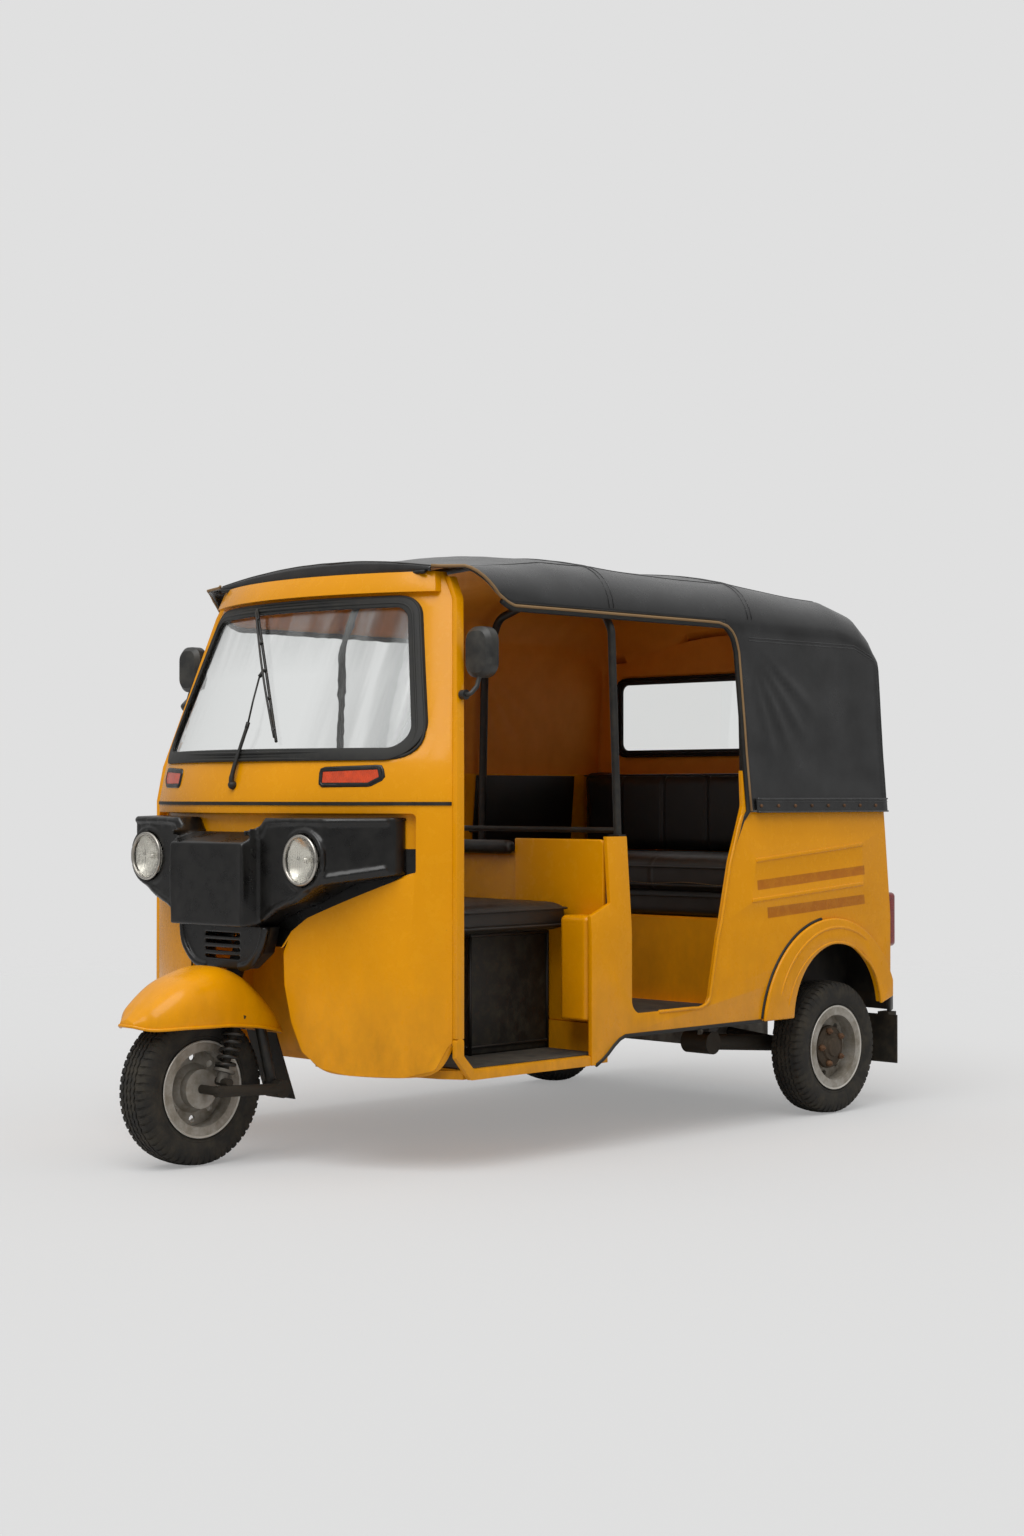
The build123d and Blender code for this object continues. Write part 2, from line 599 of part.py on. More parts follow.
BUMPER_HALF = BODY_HALF - 40
BUMPER_LOW = 290
with BuildPart() as bumper:
    outer = [(BUMPER_HALF - 120, BUMPER_Y), (BUMPER_HALF - 40, BUMPER_Y - 10), (BUMPER_HALF, BUMPER_Y - 80)]
    inner = [(BUMPER_HALF - 12, BUMPER_Y - 84), (BUMPER_HALF - 48, BUMPER_Y - 24), (BUMPER_HALF - 122, BUMPER_Y - 14)]
    half = outer + inner
    add(plan_prism(half + [(-x, y) for x, y in reversed(half)], BUMPER_LOW, 388, 5))
    for sign in (1, -1):
        add(plan_prism([(sign * 300, REAR_Y), (sign * 330, REAR_Y), (sign * 330, 1387), (sign * 300, 1387)], 384, 388))
        add(plan_prism([(sign * 300, REAR_Y), (sign * 330, REAR_Y), (sign * 330, REAR_Y + 5), (sign * 300, REAR_Y + 5)],
                       384, 398.5))
save(bumper, "rear_bumper")

with BuildPart() as rear_flaps:
    for sign in (1, -1):
        add(solid_of(front(1312), [(sign * (BODY_HALF - 120), 130), (sign * (BODY_HALF - 8), 130),
                                   (sign * (BODY_HALF - 8), 282), (sign * (BODY_HALF - 120), 282)], 6))
        add(solid_of(front(1350), [(sign * (BUMPER_HALF - 40), 278), (sign * BUMPER_HALF, 278),
                                   (sign * BUMPER_HALF, BUMPER_LOW - SEAT_GAP),
                                   (sign * (BUMPER_HALF - 40), BUMPER_LOW - SEAT_GAP)], 44))
save(rear_flaps, "rear_mud_flaps")

# seats
SEAT_HALF = BODY_HALF - 140
BENCH_HALF = BODY_HALF - 65
with BuildPart() as seat_box:
    add(plan_box(400, -357, -53, FLOOR_Z + 5, 606))
save(seat_box, "driver_seat_box")

with BuildPart() as seat:
    add(plan_prism([(-SEAT_HALF, -485), (SEAT_HALF, -485), (SEAT_HALF, -56), (-SEAT_HALF, -56)], 606 + GAP, 680))
    chamfer(seat.edges().filter_by(Axis.Z), 20)
    chamfer(seat.faces().sort_by(Axis.Z)[-1].edges(), 14)
save(seat, "driver_seat")

BENCH_LOW = 592
with BuildPart() as bench_base:
    add(plan_box(BODY_HALF - 152, 640, 640 + WALL, REAR_FLOOR_Z + SEAT_GAP, 600))
    add(plan_box(BODY_HALF - 152, 640 + WALL, 1180, BENCH_LOW, 606))
save(bench_base, "bench_base")

with BuildPart() as bench:
    add(plan_box(BENCH_HALF, 622, 1180, 606 + GAP, 696))
    add(plan_box(BENCH_HALF, 616, 1180, 702, 784))
    add(plan_box(BENCH_HALF - 10, 630, 1120, 690, 710))
save(bench, "bench_cushion")

with BuildPart() as bench_back:
    add(solid_of(side(5 - BENCH_HALF), [(1130, 784 + GAP), (1225, 784 + GAP), (1240, 1060), (1195, 1060), (1130, 830)],
                 2 * BENCH_HALF - 10, 10))
save(bench_back, "bench_back")

with BuildPart() as trims:
    for sign in (1, -1):
        add(side_skin(sign, -WALL - 0.5, 5, 790, 1045, 640, 1120))
save(trims, "side_trim_pads")

# mirrors on the screen pillars
MIRROR_X = COWL_HALF - 8
MIRROR_BASE_X = COWL_HALF - 38.9  # the pillar's outer face
with BuildPart() as mirrors:
    for sign in (1, -1):
        with BuildSketch(front(-508)) as head:
            with Locations((sign * MIRROR_X, 1352)):
                RectangleRounded(98, 134, 40)
        extrude(amount=38)
    chamfer(mirrors.faces().filter_by(Axis.Y).group_by(Axis.Y)[0].edges(), 12)
    for sign in (1, -1):
        with BuildSketch(front(-508)):
            with Locations((sign * MIRROR_X, 1352)):
                RectangleRounded(86, 122, 34)
        extrude(amount=4, mode=Mode.SUBTRACT)
        add(bent_tube([(sign * (MIRROR_X - 22), -565, 1240), (sign * MIRROR_X, -565, 1240),
                       (sign * MIRROR_X, -540, 1262), (sign * MIRROR_X, -528, 1296)], 6, 8))
        add(rod((sign * MIRROR_BASE_X, -565, 1240), (sign * (MIRROR_X - 14), -565, 1240), 13))
save(mirrors, "mirrors")

with BuildPart() as mirror_glass:
    for sign in (1, -1):
        with BuildSketch(front(-508.5)):
            with Locations((sign * MIRROR_X, 1352)):
                RectangleRounded(85, 121, 33.5)
        extrude(amount=3.5)
save(mirror_glass, "mirror_glasses")

with BuildPart() as wiper:
    add(rod((0, -861, 995.8), (0, -892, 1001), 9))
    add(rod((0, -888, 1000), (-30, -771, 1300), 4))
save(wiper, "wiper")

# running gear under the floor
ENGINE_Y = 840  # front face of the engine, bolted to a cross-member
ENGINE_HALF = 200
ARM_X = HUB_X - 118
PIVOT_Z = 240
PIVOT_R = 34
with BuildPart() as underframe:
    for sign in (1, -1):
        add(plan_prism([(sign * 280, -20), (sign * 330, -20), (sign * 330, 860), (sign * 280, 860)],
                       265, REAR_FLOOR_Z - 20))
    add(plan_box(470, 60, 100, PIVOT_Z + PIVOT_R + SEAT_GAP, REAR_FLOOR_Z - 20))
    add(plan_box(ARM_X + 45, 540, 580, PIVOT_Z + PIVOT_R + SEAT_GAP, REAR_FLOOR_Z - 20))
    add(plan_box(330, 800, ENGINE_Y - SEAT_GAP, 275, REAR_FLOOR_Z - 20))
save(underframe, "underframe")

with BuildPart() as engine:
    add(plan_box(ENGINE_HALF, ENGINE_Y, 1200, 190, 560))
save(engine, "engine")

with BuildPart() as arms:
    for sign in (1, -1):
        add(rod((sign * (ARM_X - 55), 560, PIVOT_Z), (sign * (ARM_X + 45), 560, PIVOT_Z), PIVOT_R))
        add(rod((sign * ARM_X, 575, PIVOT_Z), (sign * ARM_X, REAR_AXLE_Y, TYRE_R), 24))
        add(rod((sign * (ARM_X - 30), REAR_AXLE_Y, TYRE_R), (sign * (ARM_X + 45), REAR_AXLE_Y, TYRE_R), 36))
        add(rod((sign * (ARM_X + 40), REAR_AXLE_Y, TYRE_R), (sign * (HUB_X + 25), REAR_AXLE_Y, TYRE_R), AXLE_R))
save(arms, "rear_arms")

with BuildPart() as shafts:
    for sign in (1, -1):
        add(rod((sign * (ENGINE_HALF + 1.5), REAR_AXLE_Y, TYRE_R + 20), (sign * (ARM_X - 32), REAR_AXLE_Y, TYRE_R + 1), 14))
save(shafts, "drive_shafts")

with BuildPart() as rear_springs:
    for sign in (1, -1):
        add(rod((sign * ARM_X, 939.2, 233.1), (sign * ARM_X, 978.6, BENCH_LOW - 2.7), 22))
save(rear_springs, "rear_springs")


# wheels: bands of flat sides about the axle, so that the tyres stay light
TYRE_SIDES = 64
RIM_SIDES = 48
# half of the tyre's outside: place along the axle, radius
TYRE_SECTION = ((TYRE_W / 2, 172), (TYRE_W / 2 - 8, TYRE_R - 14), (26, TYRE_R - 4), (8, TYRE_R))
BEAD_X = TYRE_W / 2 - 9
FLANGE = 3.5  # thickness of the rim's flange


def band(axle, near, far, sides, flats=False):
    """A disc or cone about an axle; near and far are (place along it, radius)."""
    with BuildPart() as build:
        for place, radius in (near, far):
            with BuildSketch(Plane(origin=(axle[0] + place, axle[1], axle[2]), x_dir=(0, 1, 0), z_dir=(1, 0, 0))):
                RegularPolygon(radius, sides, major_radius=not flats)
        loft(ruled=True)
    return build.part


def tyre_ring(axle):
    outside = [(-x, r) for x, r in TYRE_SECTION] + [(x, r) for x, r in reversed(TYRE_SECTION)]
    with BuildPart() as build:
        for near, far in zip(outside, outside[1:]):
            add(band(axle, near, far, TYRE_SIDES))
        add(band(axle, (-TYRE_W, BARREL_R), (TYRE_W, BARREL_R), TYRE_SIDES, flats=True), mode=Mode.SUBTRACT)
        for sign in (1, -1):
            add(band(axle, (sign * BEAD_X, RIM_R + 1), (sign * (TYRE_W / 2 + 0.5), 162), TYRE_SIDES),
                mode=Mode.SUBTRACT)
    return build.part


def rim_disc(axle, face):
    """A pressed rim; face is +1 or -1, the way its dish looks."""
    edge = BEAD_X + FLANGE
    with BuildPart() as build:
        add(band(axle, (-edge, BARREL_R), (edge, BARREL_R), RIM_SIDES))
        for sign in (1, -1):
            add(band(axle, (sign * BEAD_X, RIM_R), (sign * edge, RIM_R), RIM_SIDES))
        add(band(axle, (-edge - 1, BARREL_R - 4), (edge + 1, BARREL_R - 4), RIM_SIDES), mode=Mode.SUBTRACT)
        add(band(axle, (-4, BARREL_R - 2), (4, BARREL_R - 2), RIM_SIDES))
        add(band(axle, (face * 3.9, 66), (face * 20, 52), RIM_SIDES))
        add(band(axle, (face * -4.1, 62), (face * 14, 50), RIM_SIDES), mode=Mode.SUBTRACT)
        add(band(axle, (-30, 14), (30, 14), 24), mode=Mode.SUBTRACT)
        with BuildSketch(Plane(origin=axle, x_dir=(0, 1, 0), z_dir=(1, 0, 0))):
            with PolarLocations(82, 8):
                RegularPolygon(10, 12)
        extrude(amount=30, both=True, mode=Mode.SUBTRACT)
    return build.part


def front_drum():
    """The front hub and brake drum, bored for the axle."""
    with BuildPart() as build:
        for start, end, radius in ((-34, -4, 40), (-4, 24, 14.2), (20.5, 46, 52)):
            add(rod((start, FRONT_Y, TYRE_R), (end, FRONT_Y, TYRE_R), radius))
        add(rod((-60, FRONT_Y, TYRE_R), (70, FRONT_Y, TYRE_R), AXLE_R + 0.05), mode=Mode.SUBTRACT)
    return build.part


def rear_drum(sign):
    """A rear hub: the drum on the inside, the nut's cap on the outside."""
    with BuildPart() as build:
        for start, end, radius in ((-65, -2, 46), (-3, 24, 16), (16, 44, 26)):
            add(rod((sign * (HUB_X + start), REAR_AXLE_Y, TYRE_R), (sign * (HUB_X + end), REAR_AXLE_Y, TYRE_R), radius))
        add(rod((sign * (HUB_X - 70), REAR_AXLE_Y, TYRE_R), (sign * (HUB_X + 27), REAR_AXLE_Y, TYRE_R), AXLE_R + 0.05),
            mode=Mode.SUBTRACT)
    return build.part


for name, x, y, face in (("front", 0, FRONT_Y, 1), ("rear_left", HUB_X, REAR_AXLE_Y, 1),
                         ("rear_right", -HUB_X, REAR_AXLE_Y, -1)):
    with BuildPart() as tyre:
        add(tyre_ring((x, y, TYRE_R)))
    save(tyre, f"{name}_tyre")
    with BuildPart() as wheel:
        add(rim_disc((x, y, TYRE_R), face))
        add(front_drum() if name == "front" else rear_drum(face))
    save(wheel, f"{name}_wheel")

# steering: column, fork leg on the left, leading link, spring unit, fender and flap
LINK_X = 100
LINK_Y = -788
LINK_Z = 191
SPRING_X = 86
BAR_Z = 915
with BuildPart() as column:
    add(rod((0, axis_y(420), 420), (0, axis_y(BAR_Z + 12), BAR_Z + 12), COLUMN_R))
    add(bent_tube([(0, axis_y(440), 440), (62, -880, 418), (LINK_X - 18, -835, 370), (LINK_X - 18, LINK_Y - 4, 200)],
                  15, 22))
    add(rod((LINK_X - 34, LINK_Y, LINK_Z), (LINK_X, LINK_Y, LINK_Z), 24))
    add(rod((62, -880, 414), (SPRING_X + 12, -906, 414), 9))
    for sign in (1, -1):
        add(bent_tube([(0, axis_y(BAR_Z), BAR_Z), (sign * 110, axis_y(BAR_Z) + 10, BAR_Z + 15),
                       (sign * 190, axis_y(BAR_Z) + 80, BAR_Z + 22), (sign * 270, axis_y(BAR_Z) + 130, BAR_Z + 10)],
                      12, 40))
save(column, "steering_column")

with BuildPart() as link:
    add(rod((LINK_X + 0.5, LINK_Y, LINK_Z), (LINK_X + 28, LINK_Y, LINK_Z), 24))
    add(rod((LINK_X + 16, LINK_Y, LINK_Z), (LINK_X + 16, FRONT_Y - 8, TYRE_R), 15))
    add(rod((-46, FRONT_Y, TYRE_R), (LINK_X + 30, FRONT_Y, TYRE_R), AXLE_R))
    add(rod((SPRING_X - 16, -966, 224), (LINK_X + 22, -966, 222), 11))
save(link, "front_link")

with BuildPart() as damper:
    add(rod((SPRING_X, -962.4, 234.4), (SPRING_X, -907.2, 404.5), 11))
save(damper, "front_damper")

with BuildPart() as coil:
    add(rod((SPRING_X, -954.5, 259), (SPRING_X, -914, 384), 24) - rod((SPRING_X, -961, 239), (SPRING_X, -908, 402), 12))
save(coil, "front_spring")

FENDER = ((FENDER_TIP_Y, 32, 372, 385), (-1160, 84, 372, 436), (-1090, 108, 374, 486), (-960, 116, 372, 524),
          (-860, 116, 362, 482), (-800, 110, 350, 420), (-772, 98, 342, 372))


def fender_form(inset):
    """The fender's outer form, drawn in by an inset."""
    with BuildPart() as build:
        for y, half, low, top in FENDER:
            spring = low + (top - low) * 0.3
            arch = chords((half - inset, spring), (0, top - inset), (inset - half, spring), 8)
            with BuildSketch(front(y)):
                with BuildLine():
                    Polyline((half - inset, low - inset), *arch, (inset - half, low - inset), close=True)
                make_face()
        loft(ruled=True)
    return build.part


with BuildPart() as fender:
    add(fender_form(0) - fender_form(4))
    add(rod((0, axis_y(300), 300), (0, axis_y(900), 900), COLUMN_R + 1), mode=Mode.SUBTRACT)
save(fender, "front_fender")

with BuildPart() as flap:
    end_y = FENDER[-1][0] + SEAT_GAP
    add(solid_of(side(-61), [(end_y, 368), (end_y + 5, 368), (end_y + 14, 335), (-690, 150), (-695, 150),
                             (end_y + 9, 335)], 122))
save(flap, "front_mud_flap")

with BuildPart() as dash:
    add(cowl_band(-WALL - 1, 64, 1, 2) & front_cut([(-500, 1034), (500, 1034), (500, 1058), (-500, 1058)]))
save(dash, "dashboard")
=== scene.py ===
import math

import bpy
import bmesh
from mathutils import Vector, Matrix, noise
from mathutils.bvhtree import BVHTree
from mathutils.geometry import delaunay_2d_cdt


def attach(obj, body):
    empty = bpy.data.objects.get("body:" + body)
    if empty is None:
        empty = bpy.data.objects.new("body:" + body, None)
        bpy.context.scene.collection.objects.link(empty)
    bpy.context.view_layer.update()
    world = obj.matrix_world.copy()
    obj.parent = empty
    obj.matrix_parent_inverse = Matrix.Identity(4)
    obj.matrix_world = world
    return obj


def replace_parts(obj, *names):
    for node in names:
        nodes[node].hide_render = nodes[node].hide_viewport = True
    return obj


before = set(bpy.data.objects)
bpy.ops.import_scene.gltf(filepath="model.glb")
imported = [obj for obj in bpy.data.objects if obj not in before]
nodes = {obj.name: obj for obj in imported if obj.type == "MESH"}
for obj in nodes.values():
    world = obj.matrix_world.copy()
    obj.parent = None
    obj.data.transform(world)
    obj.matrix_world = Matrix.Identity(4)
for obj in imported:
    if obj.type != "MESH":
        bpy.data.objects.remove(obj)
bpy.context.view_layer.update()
print("frame loaded:", len(nodes), "nodes")


# small helpers

def srgb(hexColour):  # sRGB hex to linear
    parts = [int(hexColour[i:i + 2], 16) / 255 for i in (1, 3, 5)]
    return tuple(p / 12.92 if p <= 0.04045 else ((p + 0.055) / 1.055) ** 2.4 for p in parts) + (1.0,)


def addNode(tree, kind, links=(), **settings):
    # settings are a node's properties or socket values, links are (socket, output)
    node = tree.nodes.new(kind)
    for key, value in settings.items():
        if hasattr(node, key) and not key[0].isupper():
            setattr(node, key, value)
        else:
            node.inputs[key.replace("_", " ")].default_value = value
    for socket, output in links:
        tree.links.new(output, node.inputs[socket])
    return node


def newMaterial(name):
    mat = bpy.data.materials.new(name)
    mat.use_nodes = True
    mat.node_tree.nodes.clear()
    return mat, mat.node_tree


def finishMaterial(mat, shader):
    addNode(mat.node_tree, "ShaderNodeOutputMaterial", links=[("Surface", shader.outputs[0])])
    return mat


def ramp(tree, source, stops):
    # grey ramp from (position, brightness) stops
    node = addNode(tree, "ShaderNodeValToRGB", links=[("Fac", source)])
    elements = node.color_ramp.elements
    while len(elements) < len(stops):
        elements.new(0.5)
    for element, (place, grey) in zip(elements, stops):
        element.position = place
        element.color = (grey, grey, grey, 1)
    return node.outputs["Color"]


# camera and light

camera = {"lens": 54.47, "sensor": 36, "place": (4.9298, -4.8938, 0.9754), "azimuth": 44.52, "pitch": 0.69}
studio = {
    "floor": "#CBCBCB", "reach": 60,
    "near": 2.6, "far": 9.0,  # the floor fades out between these distances from the middle, in metres
    "thin": 0.38,  # how clear the floor is where it is seen directly
    "sky": "#E0E0E0", "glow": ((0.0, 0.16), (0.22, 0.42), (0.6, 0.75), (1.0, 1.25)), "glowPower": 0.72,
    "sunTurn": -62, "sunHeight": 60, "sunSoft": 50, "sunPower": 1.9,
}


def viewDirection():
    turn, rise = math.radians(camera["azimuth"]), math.radians(camera["pitch"])
    return Vector((-math.sin(turn) * math.cos(rise), math.cos(turn) * math.cos(rise), math.sin(rise)))


def setCamera():
    bpy.context.scene.view_settings.view_transform = "Standard"
    cam = bpy.data.objects.new("camera", bpy.data.cameras.new("camera"))
    bpy.context.collection.objects.link(cam)
    cam.data.lens = camera["lens"]
    cam.data.sensor_width = camera["sensor"]
    cam.location = camera["place"]
    cam.rotation_euler = viewDirection().to_track_quat("-Z", "Y").to_euler()
    bpy.context.scene.camera = cam


def setStudio():
    world = bpy.data.worlds.new("studio")
    world.use_nodes = True
    tree = world.node_tree
    tree.nodes.clear()
    path = addNode(tree, "ShaderNodeLightPath")
    coord = addNode(tree, "ShaderNodeTexCoord")
    split = addNode(tree, "ShaderNodeSeparateXYZ", links=[("Vector", coord.outputs["Generated"])])
    # soft overhead box: bright above, greyer at the horizon, dim below
    height = addNode(tree, "ShaderNodeMapRange", links=[("Value", split.outputs["Z"])], From_Min=-0.25,
                     From_Max=0.9)
    glow = ramp(tree, height.outputs[0], studio["glow"])
    dome = addNode(tree, "ShaderNodeBackground", links=[("Color", glow)], Strength=studio["glowPower"])
    plain = addNode(tree, "ShaderNodeBackground", Color=srgb(studio["sky"]), Strength=1.0)
    seen = addNode(tree, "ShaderNodeMath", operation="MAXIMUM",
                   links=[(0, path.outputs["Is Camera Ray"]), (1, path.outputs["Is Transmission Ray"])])
    mix = addNode(tree, "ShaderNodeMixShader",
                  links=[(0, seen.outputs[0]), (1, dome.outputs[0]), (2, plain.outputs[0])])
    addNode(tree, "ShaderNodeOutputWorld", links=[("Surface", mix.outputs[0])])
    bpy.context.scene.world = world

    sun = bpy.data.objects.new("keyLight", bpy.data.lights.new("keyLight", "SUN"))
    sun.data.energy = studio["sunPower"]
    sun.data.angle = math.radians(studio["sunSoft"])
    turn, rise = math.radians(studio["sunTurn"]), math.radians(studio["sunHeight"])
    toSun = Vector((math.cos(turn) * math.cos(rise), math.sin(turn) * math.cos(rise), math.sin(rise)))
    sun.rotation_euler = toSun.to_track_quat("Z", "Y").to_euler()
    bpy.context.collection.objects.link(sun)

    mesh = bpy.data.meshes.new("floor")
    corners = [(x * studio["reach"], y * studio["reach"], 0) for x, y in ((-1, -1), (1, -1), (1, 1), (-1, 1))]
    mesh.from_pydata(corners, [], [(0, 1, 2, 3)])
    floor = bpy.data.objects.new("floor", mesh)
    bpy.context.collection.objects.link(floor)
    mat, tree = newMaterial("studioPaper")
    shader = addNode(tree, "ShaderNodeBsdfPrincipled", Base_Color=srgb(studio["floor"]), Roughness=0.95)
    shader.inputs["Specular IOR Level"].default_value = 0.0
    # the paper fades into the backdrop, so no horizon shows
    coord = addNode(tree, "ShaderNodeTexCoord")
    away = addNode(tree, "ShaderNodeVectorMath", operation="LENGTH", links=[(0, coord.outputs["Object"])])
    fade = addNode(tree, "ShaderNodeMapRange", links=[("Value", away.outputs["Value"])],
                   From_Min=studio["near"], From_Max=studio["far"], interpolation_type="SMOOTHSTEP")
    clear = addNode(tree, "ShaderNodeBsdfTransparent")
    # seen directly the paper is partly clear, which lightens the shadow as the photograph's is
    path = addNode(tree, "ShaderNodeLightPath")
    thin = addNode(tree, "ShaderNodeMapRange", links=[("Value", path.outputs["Is Camera Ray"])],
                   To_Max=studio["thin"])
    share = addNode(tree, "ShaderNodeMath", operation="MAXIMUM",
                    links=[(0, fade.outputs[0]), (1, thin.outputs[0])])
    mixed = addNode(tree, "ShaderNodeMixShader",
                    links=[(0, share.outputs[0]), (1, shader.outputs[0]), (2, clear.outputs[0])])
    finishMaterial(mat, mixed)
    mesh.materials.append(mat)


setCamera()
setStudio()
print("camera and studio set")


# materials

def position(tree, scale, rotation=(0, 0, 0)):
    # object coordinates in metres times a scale for each axis
    coord = addNode(tree, "ShaderNodeTexCoord")
    mapping = addNode(tree, "ShaderNodeMapping", links=[("Vector", coord.outputs["Object"])])
    mapping.inputs["Scale"].default_value = scale
    mapping.inputs["Rotation"].default_value = rotation
    return mapping.outputs[0]


def noiseAt(tree, size, detail=4, rough=0.55, stretch=(1, 1, 1)):
    # noise whose main features are size metres across
    place = position(tree, tuple(s / size for s in stretch))
    return addNode(tree, "ShaderNodeTexNoise", links=[("Vector", place)], Scale=1.0, Detail=detail,
                   Roughness=rough).outputs["Fac"]


def setSocket(tree, socket, value):
    # links an output, or sets a number or a colour
    if hasattr(value, "is_linked"):
        tree.links.new(value, socket)
    else:
        socket.default_value = srgb(value) if isinstance(value, str) else value


def mixColour(tree, factor, first, second):
    node = addNode(tree, "ShaderNodeMix", data_type="RGBA")
    for socket, value in ((0, factor), (6, first), (7, second)):
        setSocket(tree, node.inputs[socket], value)
    return node.outputs[2]


def mathNode(tree, operation, *values, clamp=False):
    node = addNode(tree, "ShaderNodeMath", operation=operation, use_clamp=clamp)
    for socket, value in zip(node.inputs, values):
        setSocket(tree, socket, value)
    return node.outputs[0]


def remap(tree, value, low, high, toLow=0.0, toHigh=1.0):
    return addNode(tree, "ShaderNodeMapRange", links=[("Value", value)], From_Min=low, From_Max=high,
                   To_Min=toLow, To_Max=toHigh).outputs[0]


def bumpFrom(tree, height, distance, strength=1.0, normal=None):
    node = addNode(tree, "ShaderNodeBump", Strength=strength, Distance=distance)
    tree.links.new(height, node.inputs["Height"])
    if normal is not None:
        tree.links.new(normal, node.inputs["Normal"])
    return node.outputs[0]


def principled(tree, colour, roughness, metallic=0.0, normal=None, coat=0.0, specular=0.5, transmission=0.0,
               ior=None):
    node = addNode(tree, "ShaderNodeBsdfPrincipled")
    for name, value in (("Base Color", colour), ("Roughness", roughness), ("Metallic", metallic),
                        ("Normal", normal), ("Coat Weight", coat), ("Coat Roughness", 0.12),
                        ("Specular IOR Level", specular),
                        ("Transmission Weight", transmission), ("IOR", ior)):
        if value is not None:
            setSocket(tree, node.inputs[name], value)
    return node


def objectAxes(tree):
    # X, Y and Z in metres
    coord = addNode(tree, "ShaderNodeTexCoord")
    split = addNode(tree, "ShaderNodeSeparateXYZ", links=[("Vector", coord.outputs["Object"])])
    return split.outputs


paint = {"fresh": "#E69900", "faded": "#EEA806", "deep": "#DE9300", "dirt": "#6A4508", "chip": "#5C4A36",
         "panelWave": 0.12, "orangePeel": 0.004, "dirtShare": 0.42, "dirtFoot": 0.22, "coat": 0.14,
         "specular": 0.2}


def bodyPaint(name="bodyEnamel", dirtTop=0.75, dull=0.0, stripes=False):
    # sprayed enamel over pressed sheet steel: soft gloss, slow waves, dust low down and rubbed chips
    mat, tree = newMaterial(name)
    axes = objectAxes(tree)
    broad = noiseAt(tree, 0.45, 3)
    fine = noiseAt(tree, 0.035, 6, 0.65)
    base = mixColour(tree, remap(tree, broad, 0.35, 0.65), paint["deep"], paint["fresh"])
    base = mixColour(tree, remap(tree, fine, 0.5, 0.75, 0.0, 0.22), base, paint["faded"])
    if stripes:
        base = stripeColour(tree, axes, base, fine)
    speck = noiseAt(tree, 0.006, 2, 0.5)
    chips = mathNode(tree, "MULTIPLY", remap(tree, speck, 0.72, 0.76), remap(tree, fine, 0.48, 0.6))
    base = mixColour(tree, mathNode(tree, "MULTIPLY", chips, 0.3), base, paint["chip"])
    low = remap(tree, axes["Z"], dirtTop, paint["dirtFoot"])
    smear = noiseAt(tree, 0.11, 6, 0.7, (1, 1, 0.55))
    grime = mathNode(tree, "MULTIPLY", mathNode(tree, "POWER", low, 1.6), remap(tree, smear, 0.36, 0.68),
                     clamp=True)
    grime = mathNode(tree, "MULTIPLY", grime, paint["dirtShare"])
    colour = mixColour(tree, grime, base, paint["dirt"])
    rough = mathNode(tree, "ADD", remap(tree, fine, 0.3, 0.7, 0.22 + dull, 0.3 + dull),
                     mathNode(tree, "MULTIPLY", grime, 0.45), clamp=True)
    wave = bumpFrom(tree, broad, 0.012, paint["panelWave"])
    skin = bumpFrom(tree, noiseAt(tree, paint["orangePeel"], 1), 0.0002, 0.25, wave)
    return finishMaterial(mat, principled(tree, colour, rough, normal=skin, coat=paint["coat"],
                                          specular=paint["specular"]))


decals = {"colour": "#A45A10", "fade": 0.9,
          # each band: its two ends' y, then low and high z at one and the other
          "bands": (((0.511, 1.047), (0.697, 0.726), (0.731, 0.759)),
                    ((0.551, 1.038), (0.613, 0.645), (0.640, 0.669)))}


def stripeColour(tree, axes, base, wear):
    # faded adhesive bands that taper along the rear quarter
    colour = base
    for (start, end), lowEnds, highEnds in decals["bands"]:
        low = remap(tree, axes["Y"], start, end, lowEnds[0], highEnds[0])
        high = remap(tree, axes["Y"], start, end, lowEnds[1], highEnds[1])
        inside = mathNode(tree, "MULTIPLY", mathNode(tree, "GREATER_THAN", axes["Z"], low),
                          mathNode(tree, "LESS_THAN", axes["Z"], high))
        for edge, operation in ((start, "GREATER_THAN"), (end, "LESS_THAN")):
            inside = mathNode(tree, "MULTIPLY", inside, mathNode(tree, operation, axes["Y"], edge))
        worn = mathNode(tree, "MULTIPLY", inside, remap(tree, wear, 0.3, 0.62, decals["fade"], 0.7))
        colour = mixColour(tree, worn, colour, decals["colour"])
    return colour


